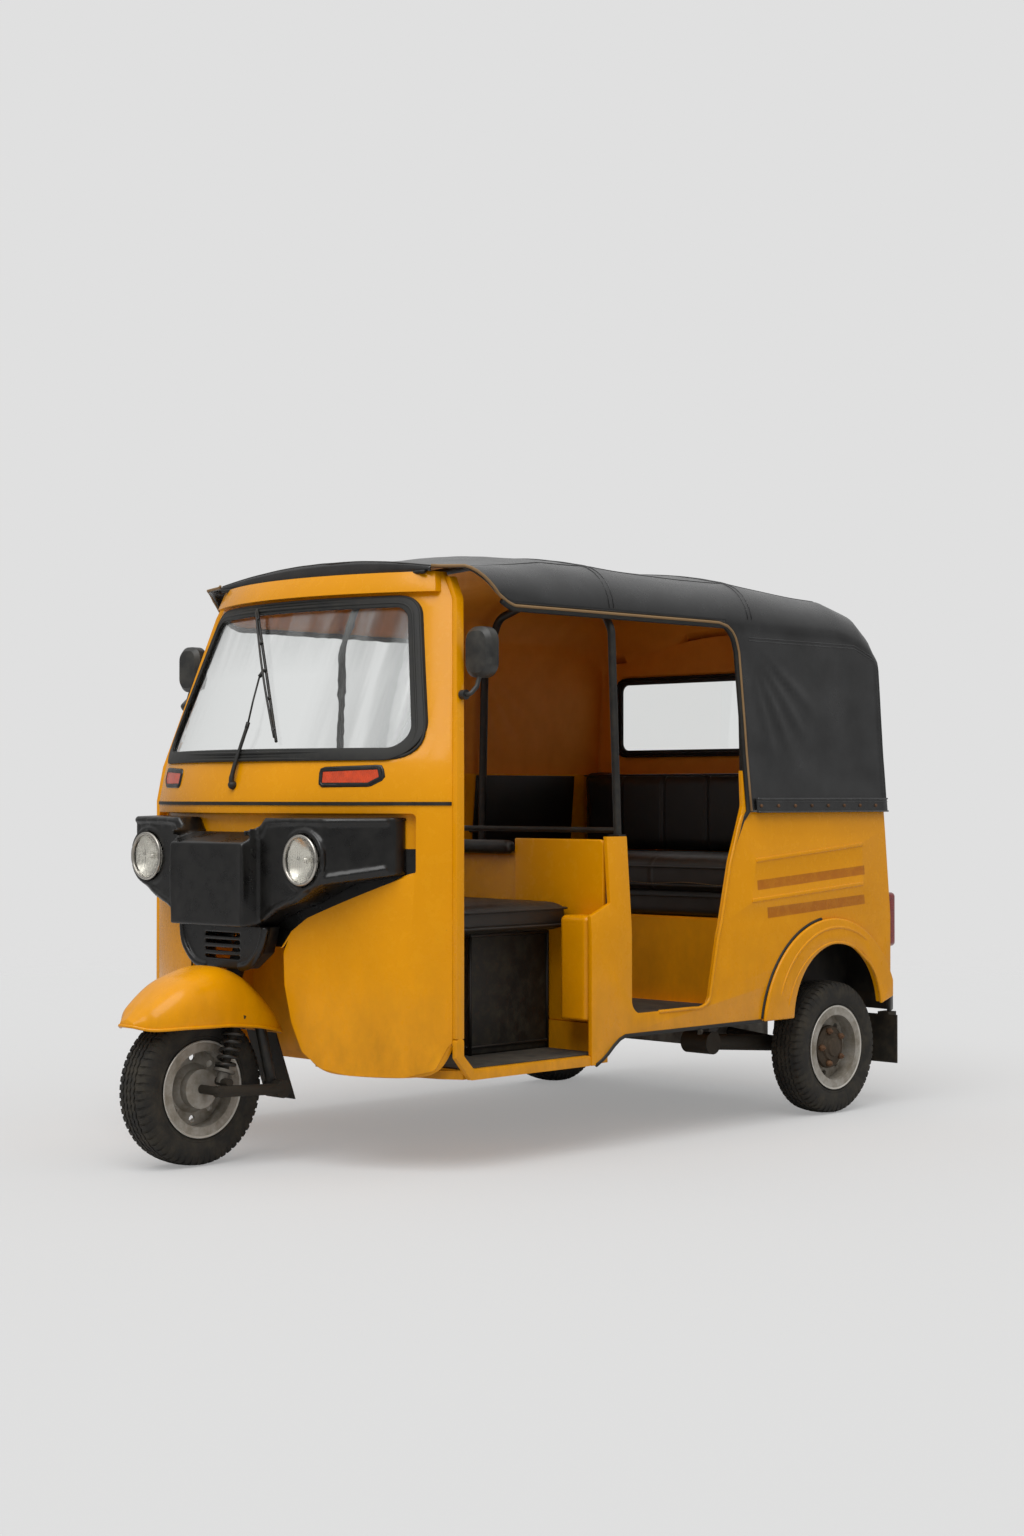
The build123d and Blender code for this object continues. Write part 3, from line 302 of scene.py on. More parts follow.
def vinylCloth(name, colour, dusty, grain=0.0035, rough=0.42, dustAndSheenShare=0.9, bump=0.35, patch=0.25, coat=0.0):
    # calendered vinyl on a woven backing: leather-like grain; what faces up is paler, partly from dust and
    # partly as a painted highlight of the sky's reflection
    mat, tree = newMaterial(name)
    cells = addNode(tree, "ShaderNodeTexVoronoi", links=[("Vector", position(tree, (1 / grain,) * 3))],
                    feature="F1")
    grainHeight = mathNode(tree, "MULTIPLY", cells.outputs["Distance"], cells.outputs["Distance"])
    soft = noiseAt(tree, 0.09, 5, 0.6)
    geometry = addNode(tree, "ShaderNodeNewGeometry")
    up = addNode(tree, "ShaderNodeSeparateXYZ", links=[("Vector", geometry.outputs["Normal"])]).outputs["Z"]
    # up-facing faces are mixed towards the paler colour: dust, and a painted highlight standing for the sky's
    # reflection
    dust = mathNode(tree, "MULTIPLY", remap(tree, up, 0.1, 1.0), remap(tree, soft, 0.3, 0.7, 0.45, 1.0),
                    clamp=True)
    dust = mathNode(tree, "MULTIPLY", dust, dustAndSheenShare)
    base = mixColour(tree, remap(tree, soft, 0.35, 0.7, 0.0, patch), colour, dusty)
    base = mixColour(tree, dust, base, dusty)
    roughness = mathNode(tree, "ADD", remap(tree, soft, 0.3, 0.7, rough - 0.05, rough + 0.08),
                         mathNode(tree, "MULTIPLY", dust, 0.3), clamp=True)
    normal = bumpFrom(tree, grainHeight, 0.0006, bump)
    normal = bumpFrom(tree, noiseAt(tree, 0.03, 3), 0.0012, 0.3, normal)
    return finishMaterial(mat, principled(tree, base, roughness, normal=normal, coat=coat))


def mouldedPlastic(name, colour, dusty, rough):
    # injection-moulded ABS with a spark-eroded grain, dust caught on it
    mat, tree = newMaterial(name)
    fine = noiseAt(tree, 0.05, 5, 0.6)
    texture = noiseAt(tree, 0.0016, 2, 0.5)
    base = mixColour(tree, remap(tree, fine, 0.42, 0.75, 0.0, 0.5), colour, dusty)
    normal = bumpFrom(tree, texture, 0.0004, 0.35)
    return finishMaterial(mat, principled(tree, base, remap(tree, fine, 0.3, 0.7, rough - 0.08, rough + 0.12),
                                          normal=normal))


def paintedSteel(name, colour, dusty, rough=0.4):
    # brushed-on black enamel over steel tube, rust at the chips
    mat, tree = newMaterial(name)
    fine = noiseAt(tree, 0.03, 6, 0.65)
    spots = remap(tree, noiseAt(tree, 0.012, 4, 0.6), 0.6, 0.72)
    base = mixColour(tree, remap(tree, fine, 0.45, 0.75, 0.0, 0.6), colour, dusty)
    base = mixColour(tree, mathNode(tree, "MULTIPLY", spots, 0.25), base, "#5A3418")
    normal = bumpFrom(tree, fine, 0.0008, 0.3)
    return finishMaterial(mat, principled(tree, base, remap(tree, fine, 0.3, 0.7, rough, rough + 0.25),
                                          normal=normal))


def bareMetal(name, colour, dirty, rough=0.35, dirt=0.5, metallic=1.0, size=0.04):
    # zinc or aluminium paint over metal with road dirt in the hollows
    mat, tree = newMaterial(name)
    fine = noiseAt(tree, size, 6, 0.65)
    mask = remap(tree, fine, 0.38, 0.66, 0.0, dirt)
    base = mixColour(tree, mask, colour, dirty)
    metal = mathNode(tree, "SUBTRACT", metallic, mathNode(tree, "MULTIPLY", mask, metallic), clamp=True)
    return finishMaterial(mat, principled(tree, base, remap(tree, fine, 0.3, 0.7, rough, rough + 0.3), metal,
                                          bumpFrom(tree, fine, 0.0008, 0.35)))


def rubber(name, colour, dusty, rough, dust):
    # vulcanised rubber, matt, greyed by dust
    mat, tree = newMaterial(name)
    fine = noiseAt(tree, 0.045, 6, 0.65)
    base = mixColour(tree, remap(tree, fine, 0.4, 0.72, 0.0, dust), colour, dusty)
    normal = bumpFrom(tree, noiseAt(tree, 0.002, 2), 0.0004, 0.3)
    return finishMaterial(mat, principled(tree, base, remap(tree, fine, 0.3, 0.7, rough - 0.1, rough + 0.1),
                                          normal=normal, specular=0.35))


def glassSheet(name="floatGlass", colour="#FAFCFB"):
    # toughened glass: clear, slight green, faint haze of dust
    mat, tree = newMaterial(name)
    haze = remap(tree, noiseAt(tree, 0.2, 5, 0.6), 0.35, 0.7, 0.0, 0.035)
    return finishMaterial(mat, principled(tree, colour, haze, transmission=1.0, ior=1.46))


def streakedGlass(name="windscreenGlass"):
    # the windscreen's reflections of a dim room: slanting streaks, stronger to the left and at the top
    mat, tree = newMaterial(name)
    clear = principled(tree, "#FAFCFB", 0.0, transmission=1.0, ior=1.46)
    slant = position(tree, (16, 1, 0.7), (0, math.radians(24), 0))
    bands = addNode(tree, "ShaderNodeTexNoise", links=[("Vector", slant)], Scale=1.0, Detail=4).outputs["Fac"]
    axes = objectAxes(tree)
    share = remap(tree, axes["X"], 0.18, 0.47, 0.0, 0.5)
    share = mathNode(tree, "ADD", share, remap(tree, axes["Z"], 1.3, 1.46, 0.0, 0.22), clamp=True)
    share = mathNode(tree, "MULTIPLY", share, remap(tree, bands, 0.36, 0.62, 0.1, 1.0))
    dim = principled(tree, mixColour(tree, remap(tree, bands, 0.42, 0.6), "#4A4C4B", "#A9ACAB"), 0.25)
    node = addNode(tree, "ShaderNodeMixShader", links=[(0, share), (1, clear.outputs[0]),
                                                       (2, dim.outputs[0])])
    return finishMaterial(mat, node)


def ribs(tree, axis, pitch):
    return mathNode(tree, "SINE", mathNode(tree, "MULTIPLY", objectAxes(tree)[axis], 2 * math.pi / pitch))


def ribbedLens(name, colour, axis="X", transmission=0.35):
    # moulded acrylic with fine prisms
    mat, tree = newMaterial(name)
    wave = ribs(tree, axis, 0.005)
    normal = bumpFrom(tree, wave, 0.0008, 0.6)
    base = mixColour(tree, remap(tree, noiseAt(tree, 0.02, 4), 0.4, 0.7, 0.0, 0.3), colour, "#3A1608")
    return finishMaterial(mat, principled(tree, base, 0.12, normal=normal, coat=0.5,
                                          transmission=transmission))


def ribbedMat(name, colour, dusty):
    # moulded rubber mat with straight ribs along the vehicle
    mat, tree = newMaterial(name)
    wave = ribs(tree, "X", 0.009)
    fine = noiseAt(tree, 0.08, 6, 0.65)
    base = mixColour(tree, remap(tree, fine, 0.35, 0.7, 0.1, 0.8), colour, dusty)
    return finishMaterial(mat, principled(tree, base, 0.8, normal=bumpFrom(tree, wave, 0.0015, 0.6)))


finish = {
    "paint": bodyPaint(),
    "paintSide": bodyPaint("sideEnamel", stripes=True),
    "paintInside": bodyPaint("insideEnamel", dirtTop=1.2, dull=0.2),
    # the hood's paler top is partly dust and partly a painted highlight
    "hood": vinylCloth("hoodVinyl", "#151515", "#4E4F50", grain=0.003, rough=0.2, dustAndSheenShare=0.4, bump=0.22,
                       patch=0.14, coat=0.35),
    "lining": vinylCloth("hoodLining", "#E8921C", "#B8700E", grain=0.002, rough=0.6, dustAndSheenShare=0.0),
    "seat": vinylCloth("seatVinyl", "#191816", "#4A4843", grain=0.0025, rough=0.36, dustAndSheenShare=0.28,
                       patch=0.12),
    "piping": vinylCloth("tanPiping", "#8A6A42", "#9A8058", grain=0.002, rough=0.5, dustAndSheenShare=0.3),
    "plastic": mouldedPlastic("blackAbs", "#0B0A09", "#1C1A16", rough=0.3),
    "trimPlastic": mouldedPlastic("mirrorAbs", "#232322", "#55534C", rough=0.42),
    "seal": rubber("sealRubber", "#1A1A19", "#46443C", rough=0.55, dust=0.3),
    "glass": glassSheet(),
    "windscreenGlass": streakedGlass(),
    "chrome": bareMetal("lampChrome", "#C9C7C2", "#7E776A", rough=0.1, dirt=0.25),
    "orangeLens": ribbedLens("amberAcrylic", "#E2480C", transmission=0.1),
    "redLens": ribbedLens("redAcrylic", "#9A1209", axis="Z"),
    "steel": paintedSteel("blackEnamelTube", "#141310", "#3C382E"),
    "boxSteel": paintedSteel("blackEnamelSheet", "#181713", "#45402F", rough=0.5),
    "iron": bareMetal("oilyCastIron", "#37332C", "#2A2318", rough=0.5, dirt=0.7, metallic=0.6),
    "rim": bareMetal("aluminiumPaint", "#A39E95", "#5A4E38", rough=0.38, dirt=0.7, metallic=0.45, size=0.05),
    "hub": bareMetal("rustyDrum", "#4A3E30", "#32281A", rough=0.6, dirt=0.8, metallic=0.4),
    "tyre": rubber("tyreRubber", "#201E1B", "#4C463A", rough=0.8, dust=0.55),
    "flap": rubber("flapRubber", "#1E1B16", "#4E4433", rough=0.7, dust=0.5),
    "mat": ribbedMat("floorMatRubber", "#2A2926", "#5A5346"),
    "mirror": bareMetal("silveredGlass", "#D8DADC", "#A8A8A4", rough=0.02, dirt=0.08),
    "chromeRing": bareMetal("chromeRing", "#B8B4AC", "#6E675C", rough=0.16, dirt=0.35),
    "reflector": bareMetal("silveredBowl", "#E4E2DE", "#B4AFA6", rough=0.12, dirt=0.15),
    "lampGlass": glassSheet("pressedGlass", "#F4F3EE"),
    "rimBright": bareMetal("brightFlange", "#C6C2BA", "#7A6F58", rough=0.3, dirt=0.35, metallic=0.45,
                           size=0.03),
    "rust": bareMetal("rustyNuts", "#6B4A2E", "#3A2616", rough=0.6, dirt=0.8, metallic=0.3),
    "springBlack": paintedSteel("springEnamel", "#1B1A17", "#3A352A", rough=0.3),
    "alloy": bareMetal("castAluminium", "#77736C", "#3A3222", rough=0.5, dirt=0.7, metallic=0.8),
}
finishOf = {
    "paint": ("cowl", "front_fender", "door_surrounds", "side_boxes", "half_partition", "rear_wall",
              "engine_door", "wheel_arches"),
    "paintSide": ("side_panel_left", "side_panel_right"),
    "paintInside": ("floor", "wheel_well", "bench_base"),
    "hood": ("hood",),
    "seat": ("driver_seat", "driver_back_pad", "bench_cushion", "bench_back", "side_trim_pads"),
    "plastic": ("lamp_panel", "air_duct", "indicator_frames", "dashboard"),
    "trimPlastic": ("mirrors",),
    "seal": ("windscreen_seal", "rear_window_seal", "cowl_strip"),
    "glass": ("rear_window", "headlamp_lenses"),
    "windscreenGlass": ("windscreen",),
    "chrome": ("headlamp_bowls",),
    "orangeLens": ("indicator_lenses",),
    "redLens": ("tail_lamps",),
    "steel": ("steering_column", "upright_frame", "rear_hoop", "rear_bumper", "wiper", "underframe",
              "rear_springs", "front_spring", "wheel_tubs"),
    "boxSteel": ("driver_seat_box",),
    "iron": ("front_link", "front_damper", "rear_arms", "drive_shafts"),
    "rim": ("front_wheel", "rear_left_wheel", "rear_right_wheel"),
    "tyre": ("front_tyre", "rear_left_tyre", "rear_right_tyre"),
    "flap": ("front_mud_flap", "rear_mud_flaps"),
    "mat": ("floor_mats",),
    "mirror": ("mirror_glasses",),
    "alloy": ("engine",),
}
for finishName, nodeNames in finishOf.items():
    for nodeName in nodeNames:
        nodes[nodeName].data.materials.clear()
        nodes[nodeName].data.materials.append(finish[finishName])
print("materials ready:", len(finish))


# mesh helpers

midY = 0.0935  # the frame's origin lies this far behind the middle of the wheelbase


def at(x, y, z):
    # a point in millimetres from the middle of the wheelbase, as a frame point in metres
    return Vector((x / 1000, y / 1000 - midY, z / 1000))


def filled(name, build):
    # a mesh from a function that fills a bmesh
    bm = bmesh.new()
    build(bm)
    mesh = bpy.data.meshes.new(name)
    bm.to_mesh(mesh)
    bm.free()
    return mesh


def reworked(piece, change):
    # changes a piece's own mesh
    bm = bmesh.new()
    bm.from_mesh(piece.data)
    change(bm)
    bm.to_mesh(piece.data)
    bm.free()


def newPiece(name, points, faces, material, body="body"):
    mesh = bpy.data.meshes.new(name)
    mesh.from_pydata([tuple(p) for p in points], [], faces)
    return register(name, mesh, material, body)


def register(name, mesh, material, body="body"):
    mesh.materials.clear()
    mesh.materials.append(material)
    mesh.shade_smooth()
    mesh.update()
    piece = bpy.data.objects.new(name, mesh)
    bpy.context.collection.objects.link(piece)
    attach(piece, body)
    return piece


def meshOf(name, build, material, body="body", angle=None):
    # a piece from a function that fills a bmesh, with hard edges past an angle if one is given
    def whole(bm):
        build(bm)
        bmesh.ops.remove_doubles(bm, verts=bm.verts, dist=1e-6)
        bmesh.ops.recalc_face_normals(bm, faces=bm.faces)
    piece = register(name, filled(name, whole), material, body)
    if angle is not None:
        sharpen(piece, angle)
    return piece


def modify(piece, name, kind, **settings):
    modifier = piece.modifiers.new(name, kind)
    for key, value in settings.items():
        setattr(modifier, key, value)
    return modifier


def sharpen(piece, angle):
    # smooth shading with hard edges past an angle
    piece.data.shade_smooth()
    piece.data.set_sharp_from_angle(angle=math.radians(angle))


def applied(piece):
    # bakes the piece's modifiers into its mesh
    graph = bpy.context.evaluated_depsgraph_get()
    mesh = bpy.data.meshes.new_from_object(piece.evaluated_get(graph))
    piece.modifiers.clear()
    old = piece.data
    piece.data = mesh
    bpy.data.meshes.remove(old)
    return piece


def bridge(bm, rings, closed=False):
    # faces between neighbouring rings; a ring of one vertex gets a fan
    for first, second in zip(rings, rings[1:] + rings[:1] if closed else rings[1:]):
        steps = max(len(first), len(second))
        for k in range(steps if steps > 1 else 0):
            j = (k + 1) % steps
            if len(first) == 1:
                bm.faces.new((first[0], second[j], second[k]))
            elif len(second) == 1:
                bm.faces.new((first[k], first[j], second[0]))
            else:
                bm.faces.new((first[k], first[j], second[j], second[k]))


def tube(bm, path, radius, sides=12, closed=False):
    # a round tube along a path; radius is one number or one for each point
    count = len(path)
    rings = []
    normal = None
    for i, point in enumerate(path):
        before = path[(i - 1) % count] if closed or i else path[0]
        after = path[(i + 1) % count] if closed or i < count - 1 else path[-1]
        along = (after - before).normalized()
        if normal is None:
            normal = along.orthogonal().normalized()
        normal = (normal - along * normal.dot(along)).normalized()
        across = along.cross(normal)
        r = radius[i] if hasattr(radius, "__len__") else radius
        rings.append([bm.verts.new(point + (normal * math.cos(a) + across * math.sin(a)) * r)
                      for a in (2 * math.pi * k / sides for k in range(sides))])
    bridge(bm, rings, closed)
    if not closed:
        bm.faces.new(rings[0][::-1])
        bm.faces.new(rings[-1])


def smoothPath(points, steps=8, closed=False):
    # Catmull-Rom points through a few given ones
    count = len(points)
    out = []
    spans = count if closed else count - 1
    for i in range(spans):
        p = [points[(i + k) % count] if closed else points[max(0, min(count - 1, i + k))]
             for k in (-1, 0, 1, 2)]
        for k in range(steps):
            t = k / steps
            out.append(0.5 * ((2 * p[1]) + (p[2] - p[0]) * t + (2 * p[0] - 5 * p[1] + 4 * p[2] - p[3]) * t * t
                              + (3 * p[1] - p[0] - 3 * p[2] + p[3]) * t ** 3))
    if not closed:
        out.append(points[-1].copy())
    return out


def lathe(bm, section, centre, axis=Vector((1, 0, 0)), steps=48):
    # a section of (along axis, radius) turned about an axis through centre
    side = axis.orthogonal().normalized()
    other = axis.cross(side)
    rings = []
    for along, r in section:
        angles = [2 * math.pi * k / steps for k in range(steps if r > 1e-6 else 1)]
        rings.append([bm.verts.new(centre + axis * along + (side * math.cos(a) + other * math.sin(a)) * r)
                      for a in angles])
    bridge(bm, rings)


def roundedBox(bm, low, high, radius, segments=3):
    # a box with rounded edges
    made = bmesh.ops.create_cube(bm, size=1.0)
    size = high - low
    for v in made["verts"]:
        v.co = low + Vector(((v.co.x + 0.5) * size.x, (v.co.y + 0.5) * size.y, (v.co.z + 0.5) * size.z))
    edges = list({e for v in made["verts"] for e in v.link_edges})
    if radius > 0:
        bmesh.ops.bevel(bm, geom=edges, offset=radius, segments=segments, profile=0.5, affect="EDGES")


# canopy: one coated cloth over the hoops, cut to the body's outline

canopy = {
    "roof": ((-552, 1624, 1585, 1520), (-170, 1680, 1634, 1470), (630, 1672, 1624, 1460),
             (1080, 1650, 1598, 1446), (1190, 1618, 1560, 1428), (1240, 1572, 1510, 1402),
             (1272, 1515, 1440, 1370)),
    # each row of the roof: y, crown, shoulder height, top of the side
    "frontY": -552, "rearY": 1272, "shoulderX": 470, "sideOut": 10, "headerTop": 1574, "turnedUnder": -425,
    "hem": 928, "hemFront": 612, "openingEnd": 505,
    "openingEdge": ((505, 1484), (540, 1470), (562, 1440), (572, 1400), (580, 1190), (586, 928)),
    "gutterBend": 1060, "gutterLine": ((-560, 1484), (1060, 1484), (1160, 1462), (1230, 1425), (1272, 1384)),
    "frontLine": ((-552, 1589), (-530, 1587), (-500, 1577), (-465, 1549), (-430, 1512), (-395, 1491),
                  (-370, 1484)),
    "roofColumns": 74, "rearColumns": 46, "across": 44, "sideRows": 36, "wallColumns": 84, "dropRows": 5,
    "bows": (-540, 30, 638, 1190), "sag": 11, "wrinkle": 2.4,
    "slackTop": 1445, "slackFoot": 968, "slackFront": 600,
    "fanFrom": (610, 1460), "fanReach": 430,
    # y and z where the folds fan out, then angle, width and height of each
    "fan": ((0.62, 0.05, 5), (0.86, 0.045, 6), (1.08, 0.05, 5), (1.3, 0.05, 4)),
    "thick": 3.2, "flat": (2.45, 2.6),
    "tumble": ((300, 640), (600, 640), (870, 620), (1100, 600), (1470, 575), (1700, 560)),
    "window": (520, 1110, 1385, 50),  # half width, low, high, corner radius
}


def interpolate(table, value):
    for (a, p), (b, q) in zip(table, table[1:]):
        if value <= b:
            t = max(0.0, (value - a) / (b - a))
            return p + (q - p) * t
    return table[-1][1]


def roofAt(y, column):
    return interpolate([(row[0], row[column]) for row in canopy["roof"]], y)


def hoodX(z):
    return interpolate([(z0, x) for z0, x in canopy["tumble"]], z) + canopy["sideOut"]


def openingY(z):
    return interpolate([(b, a) for a, b in reversed(canopy["openingEdge"])], z)


def clamped(value):
    return max(0.0, min(1.0, value))


def arcPoints(a, mid, b, steps):
    # circle through three points of a plane
    ax, az = a
    bx, bz = mid
    cx, cz = b
    d = 2 * (ax * (bz - cz) + bx * (cz - az) + cx * (az - bz))
    ux = ((ax * ax + az * az) * (bz - cz) + (bx * bx + bz * bz) * (cz - az)
          + (cx * cx + cz * cz) * (az - bz)) / d
    uz = ((ax * ax + az * az) * (cx - bx) + (bx * bx + bz * bz) * (ax - cx)
          + (cx * cx + cz * cz) * (bx - ax)) / d
    r = math.hypot(ax - ux, az - uz)
    start, end = math.atan2(az - uz, ax - ux), math.atan2(cz - uz, cx - ux)
    middle = math.atan2(bz - uz, bx - ux)
    while abs(middle - start) > math.pi:
        middle += 2 * math.pi if middle < start else -2 * math.pi
    while abs(end - middle) > math.pi:
        end += 2 * math.pi if end < middle else -2 * math.pi
    return [(ux + r * math.cos(start + (end - start) * k / steps),
             uz + r * math.sin(start + (end - start) * k / steps))
            for k in range(steps + 1)]


def roofSection(y):
    # half section from the gutter up and over to the crown: (x, z) in millimetres
    crown, shoulder, top = roofAt(y, 1), roofAt(y, 2), roofAt(y, 3)
    highX = hoodX(top)
    corner = (canopy["shoulderX"], shoulder)
    mid = (highX - 26, (top + corner[1]) / 2 + 26)
    rise = arcPoints((highX, top), mid, corner, 7)
    over = arcPoints(corner, (0, crown), (-corner[0], corner[1]), 56)[:29]
    rise = [(x, min(z, shoulder - 0.6 * (len(rise) - 1 - k))) for k, (x, z) in enumerate(rise)]
    return rise[:-1] + over


def resample(line, count):
    lengths = [0.0]
    for p, q in zip(line, line[1:]):
        lengths.append(lengths[-1] + math.dist(p, q))
    out = []
    j = 0
    for k in range(count + 1):
        want = lengths[-1] * k / count
        while j < len(line) - 2 and lengths[j + 1] < want:
            j += 1
        t = (want - lengths[j]) / max(1e-9, lengths[j + 1] - lengths[j])
        out.append(tuple(a + (b - a) * t for a, b in zip(line[j], line[j + 1])))
    return out


def aboveGutter(y):
    # half section from the lower edge of the roof patch to the crown
    edge = frontEdge(y)
    line = roofSection(y)
    if line[0][1] > edge:  # side wall below the bend
        line = [(hoodX(edge), edge)] + line
    while line[0][1] < edge - 0.01 and line[1][1] < edge:
        line = line[1:]
    if line[0][1] < edge:
        (x0, z0), (x1, z1) = line[0], line[1]
        t = (edge - z0) / (z1 - z0)
        line[0] = (x0 + (x1 - x0) * t, edge)
    return line


def frontEdge(y):
    # lower edge of the roof patch along the vehicle
    return interpolate(canopy["gutterLine"] if y > canopy["gutterBend"] else canopy["frontLine"], y)


def softness(y):
    # 0 on a bow, 1 midway between two
    bows = canopy["bows"]
    for a, b in zip(bows, bows[1:]):
        if a <= y <= b:
            return math.sin(math.pi * (y - a) / (b - a)) ** 0.8
    return 0.0


def buildCanopy():
    frontY, openingEnd, rearY = canopy["frontY"], canopy["openingEnd"], canopy["rearY"]
    roofCount, rearCount, across = canopy["roofColumns"], canopy["rearColumns"], canopy["across"]
    sideRows, wallColumns, drop = canopy["sideRows"], canopy["wallColumns"], canopy["dropRows"]
    columns = [frontY + (openingEnd - frontY) * k / roofCount for k in range(roofCount + 1)]
    columns += [openingEnd + (rearY - openingEnd) * k / rearCount for k in range(1, rearCount + 1)]
    points, index, faces = [], {}, []

    def add(key, p):
        if key not in index:
            index[key] = len(points)
            points.append(p)
        return index[key]

    for j, y in enumerate(columns):
        for i, (x, z) in enumerate(resample(aboveGutter(y), across)):
            add((i, j), (x, y, z))
            add((2 * across - i, j), (-x, y, z))
    for j in range(len(columns) - 1):
        for i in range(2 * across):
            faces.append((index[i, j], index[i + 1, j], index[i + 1, j + 1], index[i, j + 1]))
    # short front drop from the first bow to the header
    for i in range(2 * across + 1):
        x, y, z = points[index[i, 0]]
        foot = min(z - 4, canopy["headerTop"] - 2)
        for r in range(1, drop + 1):
            t = r / drop
            index["f", r, i] = len(points)
            points.append((x, y - 3 * math.sin(math.pi * t), z + (foot - z) * t))
        index["f", 0, i] = index[i, 0]
    for r in range(drop):
        for i in range(2 * across):
            faces.append((index["f", r, i], index["f", r + 1, i], index["f", r + 1, i + 1],
                          index["f", r, i + 1]))
    first, last = roofCount, len(columns) - 1  # the columns where the side starts and ends
    for sign in (1, -1):
        for r in range(sideRows):
            for j in range(first, len(columns)):
                t = (j - first) / (last - first)
                z = canopy["hem"] + (frontEdge(columns[j]) - canopy["hem"]) * r / sideRows
                start = openingY(z)
                add((sign, r, j), (sign * hoodX(z), start + (rearY - start) * t, z))
        for r in range(sideRows):
            for j in range(first, last):
                low = (index[sign, r, j], index[sign, r, j + 1])
                if r < sideRows - 1:
                    high = (index[sign, r + 1, j + 1], index[sign, r + 1, j])
                else:
                    top = 0 if sign > 0 else 2 * across
                    high = (index[top, j + 1], index[top, j])
                faces.append(low + high if sign > 0 else (low + high)[::-1])
    # rear wall: rows between the two sides' last points
    rim = [(1, r, last) for r in range(sideRows)] + [(i, last) for i in range(across + 1)]
    other = [(-1, r, last) for r in range(sideRows)] + [(2 * across - i, last) for i in range(across + 1)]
    for k, (a, b) in enumerate(zip(rim, other)):
        p = points[index[a]]
        for c in range(wallColumns + 1):
            x = p[0] * (1 - 2 * c / wallColumns)
            if c == 0 or k == len(rim) - 1:
                index["w", k, c] = index[a]
            elif c == wallColumns:
                index["w", k, c] = index[b]
            else:
                add(("w", k, c), (x, rearY, p[2]))
    for k in range(len(rim) - 1):
        for c in range(wallColumns):
            ring = tuple(dict.fromkeys((index["w", k, c], index["w", k + 1, c], index["w", k + 1, c + 1],
                                        index["w", k, c + 1])))
            if len(ring) > 2:
                faces.append(ring)
    return points, faces


def windowDistance(x, z):
    half, low, high, radius = canopy["window"]
    dx = abs(x) - (half - radius)
    dz = abs(z - (low + high) / 2) - ((high - low) / 2 - radius)
    outside = math.hypot(max(dx, 0), max(dz, 0))
    return outside + min(max(dx, dz), 0) - radius


def foldDepth(x, y, z):
    # sag between the bows, soft wrinkles and the pull at the seams, in millimetres inwards
    overTop = clamped((z - 1490) / 90)
    crown = 0.55 + 0.45 * math.cos(min(1.0, abs(x) / 560) * math.pi / 2)
    depth = canopy["sag"] * softness(y) * overTop * crown
    broad = noise.noise(Vector((x / 190, y / 210, z / 160)))
    pull = noise.noise(Vector((x / 60 + 7, y / 150, z / 80 + 3)))
    depth += canopy["wrinkle"] * (1.6 + 0.9 * broad + 0.45 * pull)
    top, front = canopy["slackTop"], canopy["slackFront"]
    if z < top and y > front:
        # slack cloth below the side seam: upright folds, and some that fan out from the bow
        slack = (min(1.0, (top - z) / 120) * clamped((z - canopy["slackFoot"]) / 60)
                 * min(1.0, (y - front) / 60))
        ridge = math.sin((y - 640) / 66 + 1.6 * math.sin(z / 150)
                         + 2.2 * noise.noise(Vector((y / 260, z / 320, 2))))
        depth += slack * 1.5 * (1 + ridge)
        behind, below = y - canopy["fanFrom"][0], canopy["fanFrom"][1] - z
        angle = math.atan2(below, behind)
        swell = math.sin(min(1.0, math.hypot(below, behind) / canopy["fanReach"]) * math.pi)
        for middle, width, height in canopy["fan"]:
            depth -= slack * height * math.exp(-((angle - middle) / width) ** 2) * swell
        depth = max(depth, 0.3)
    return depth


def makeCanopy():
    points, faces = buildCanopy()
    bm = bmesh.new()
    verts = [bm.verts.new(at(*p)) for p in points]
    for face in faces:
        try:
            bm.faces.new([verts[i] for i in face])
        except ValueError:
            continue
    bmesh.ops.remove_doubles(bm, verts=bm.verts, dist=1e-5)
    bmesh.ops.recalc_face_normals(bm, faces=bm.faces)
    rear = canopy["rearY"] / 1000 - midY
    gone = [f for f in bm.faces if f.calc_center_median().y > rear - 0.001
            and windowDistance(f.calc_center_median().x * 1000, f.calc_center_median().z * 1000) < 0]
    bmesh.ops.delete(bm, geom=gone, context="FACES")
    for v in bm.verts:  # the window's stepped edge is drawn on to its outline
        x, z = v.co.x * 1000, v.co.z * 1000
        if v.is_boundary and v.co.y > rear - 0.001 and 1000 < z < 1460 and abs(x) < 560:
            d = windowDistance(x, z)
            v.co.x -= (windowDistance(x + 0.5, z) - windowDistance(x - 0.5, z)) * d / 1000
            v.co.z -= (windowDistance(x, z + 0.5) - windowDistance(x, z - 0.5)) * d / 1000
    bm.normal_update()
    moves = []
    for v in bm.verts:
        x, y, z = v.co.x * 1000, (v.co.y + midY) * 1000, v.co.z * 1000
        depth = foldDepth(x, y, z)
        if y > canopy["rearY"] - 2:
            moves.append((v, Vector((0, -depth * 0.6 * clamped(windowDistance(x, z) / 40) / 1000, 0))))
        else:
            moves.append((v, v.normal * -depth / 1000))
    for v, move in moves:
        v.co += move
    mesh = bpy.data.meshes.new("canopy")
    bm.to_mesh(mesh)
    bm.free()
    for key in ("hood", "lining", "hood", "hood"):
        mesh.materials.append(finish[key])
    turned = canopy["turnedUnder"] / 1000 - midY
    for p in mesh.polygons:  # the front's hem is folded under, so its inside is black too
        p.material_index = 2 if p.center.y < turned else 0
    mesh.shade_smooth()
    piece = bpy.data.objects.new("canopy", mesh)
    bpy.context.collection.objects.link(piece)
    modify(piece, "thickness", "SOLIDIFY", thickness=canopy["thick"] / 1000, offset=-1, use_even_offset=False,
           material_offset=1, material_offset_rim=0)
    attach(piece, "body")
    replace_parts(piece, "hood")


makeCanopy()


# geometry node trees for what repeats

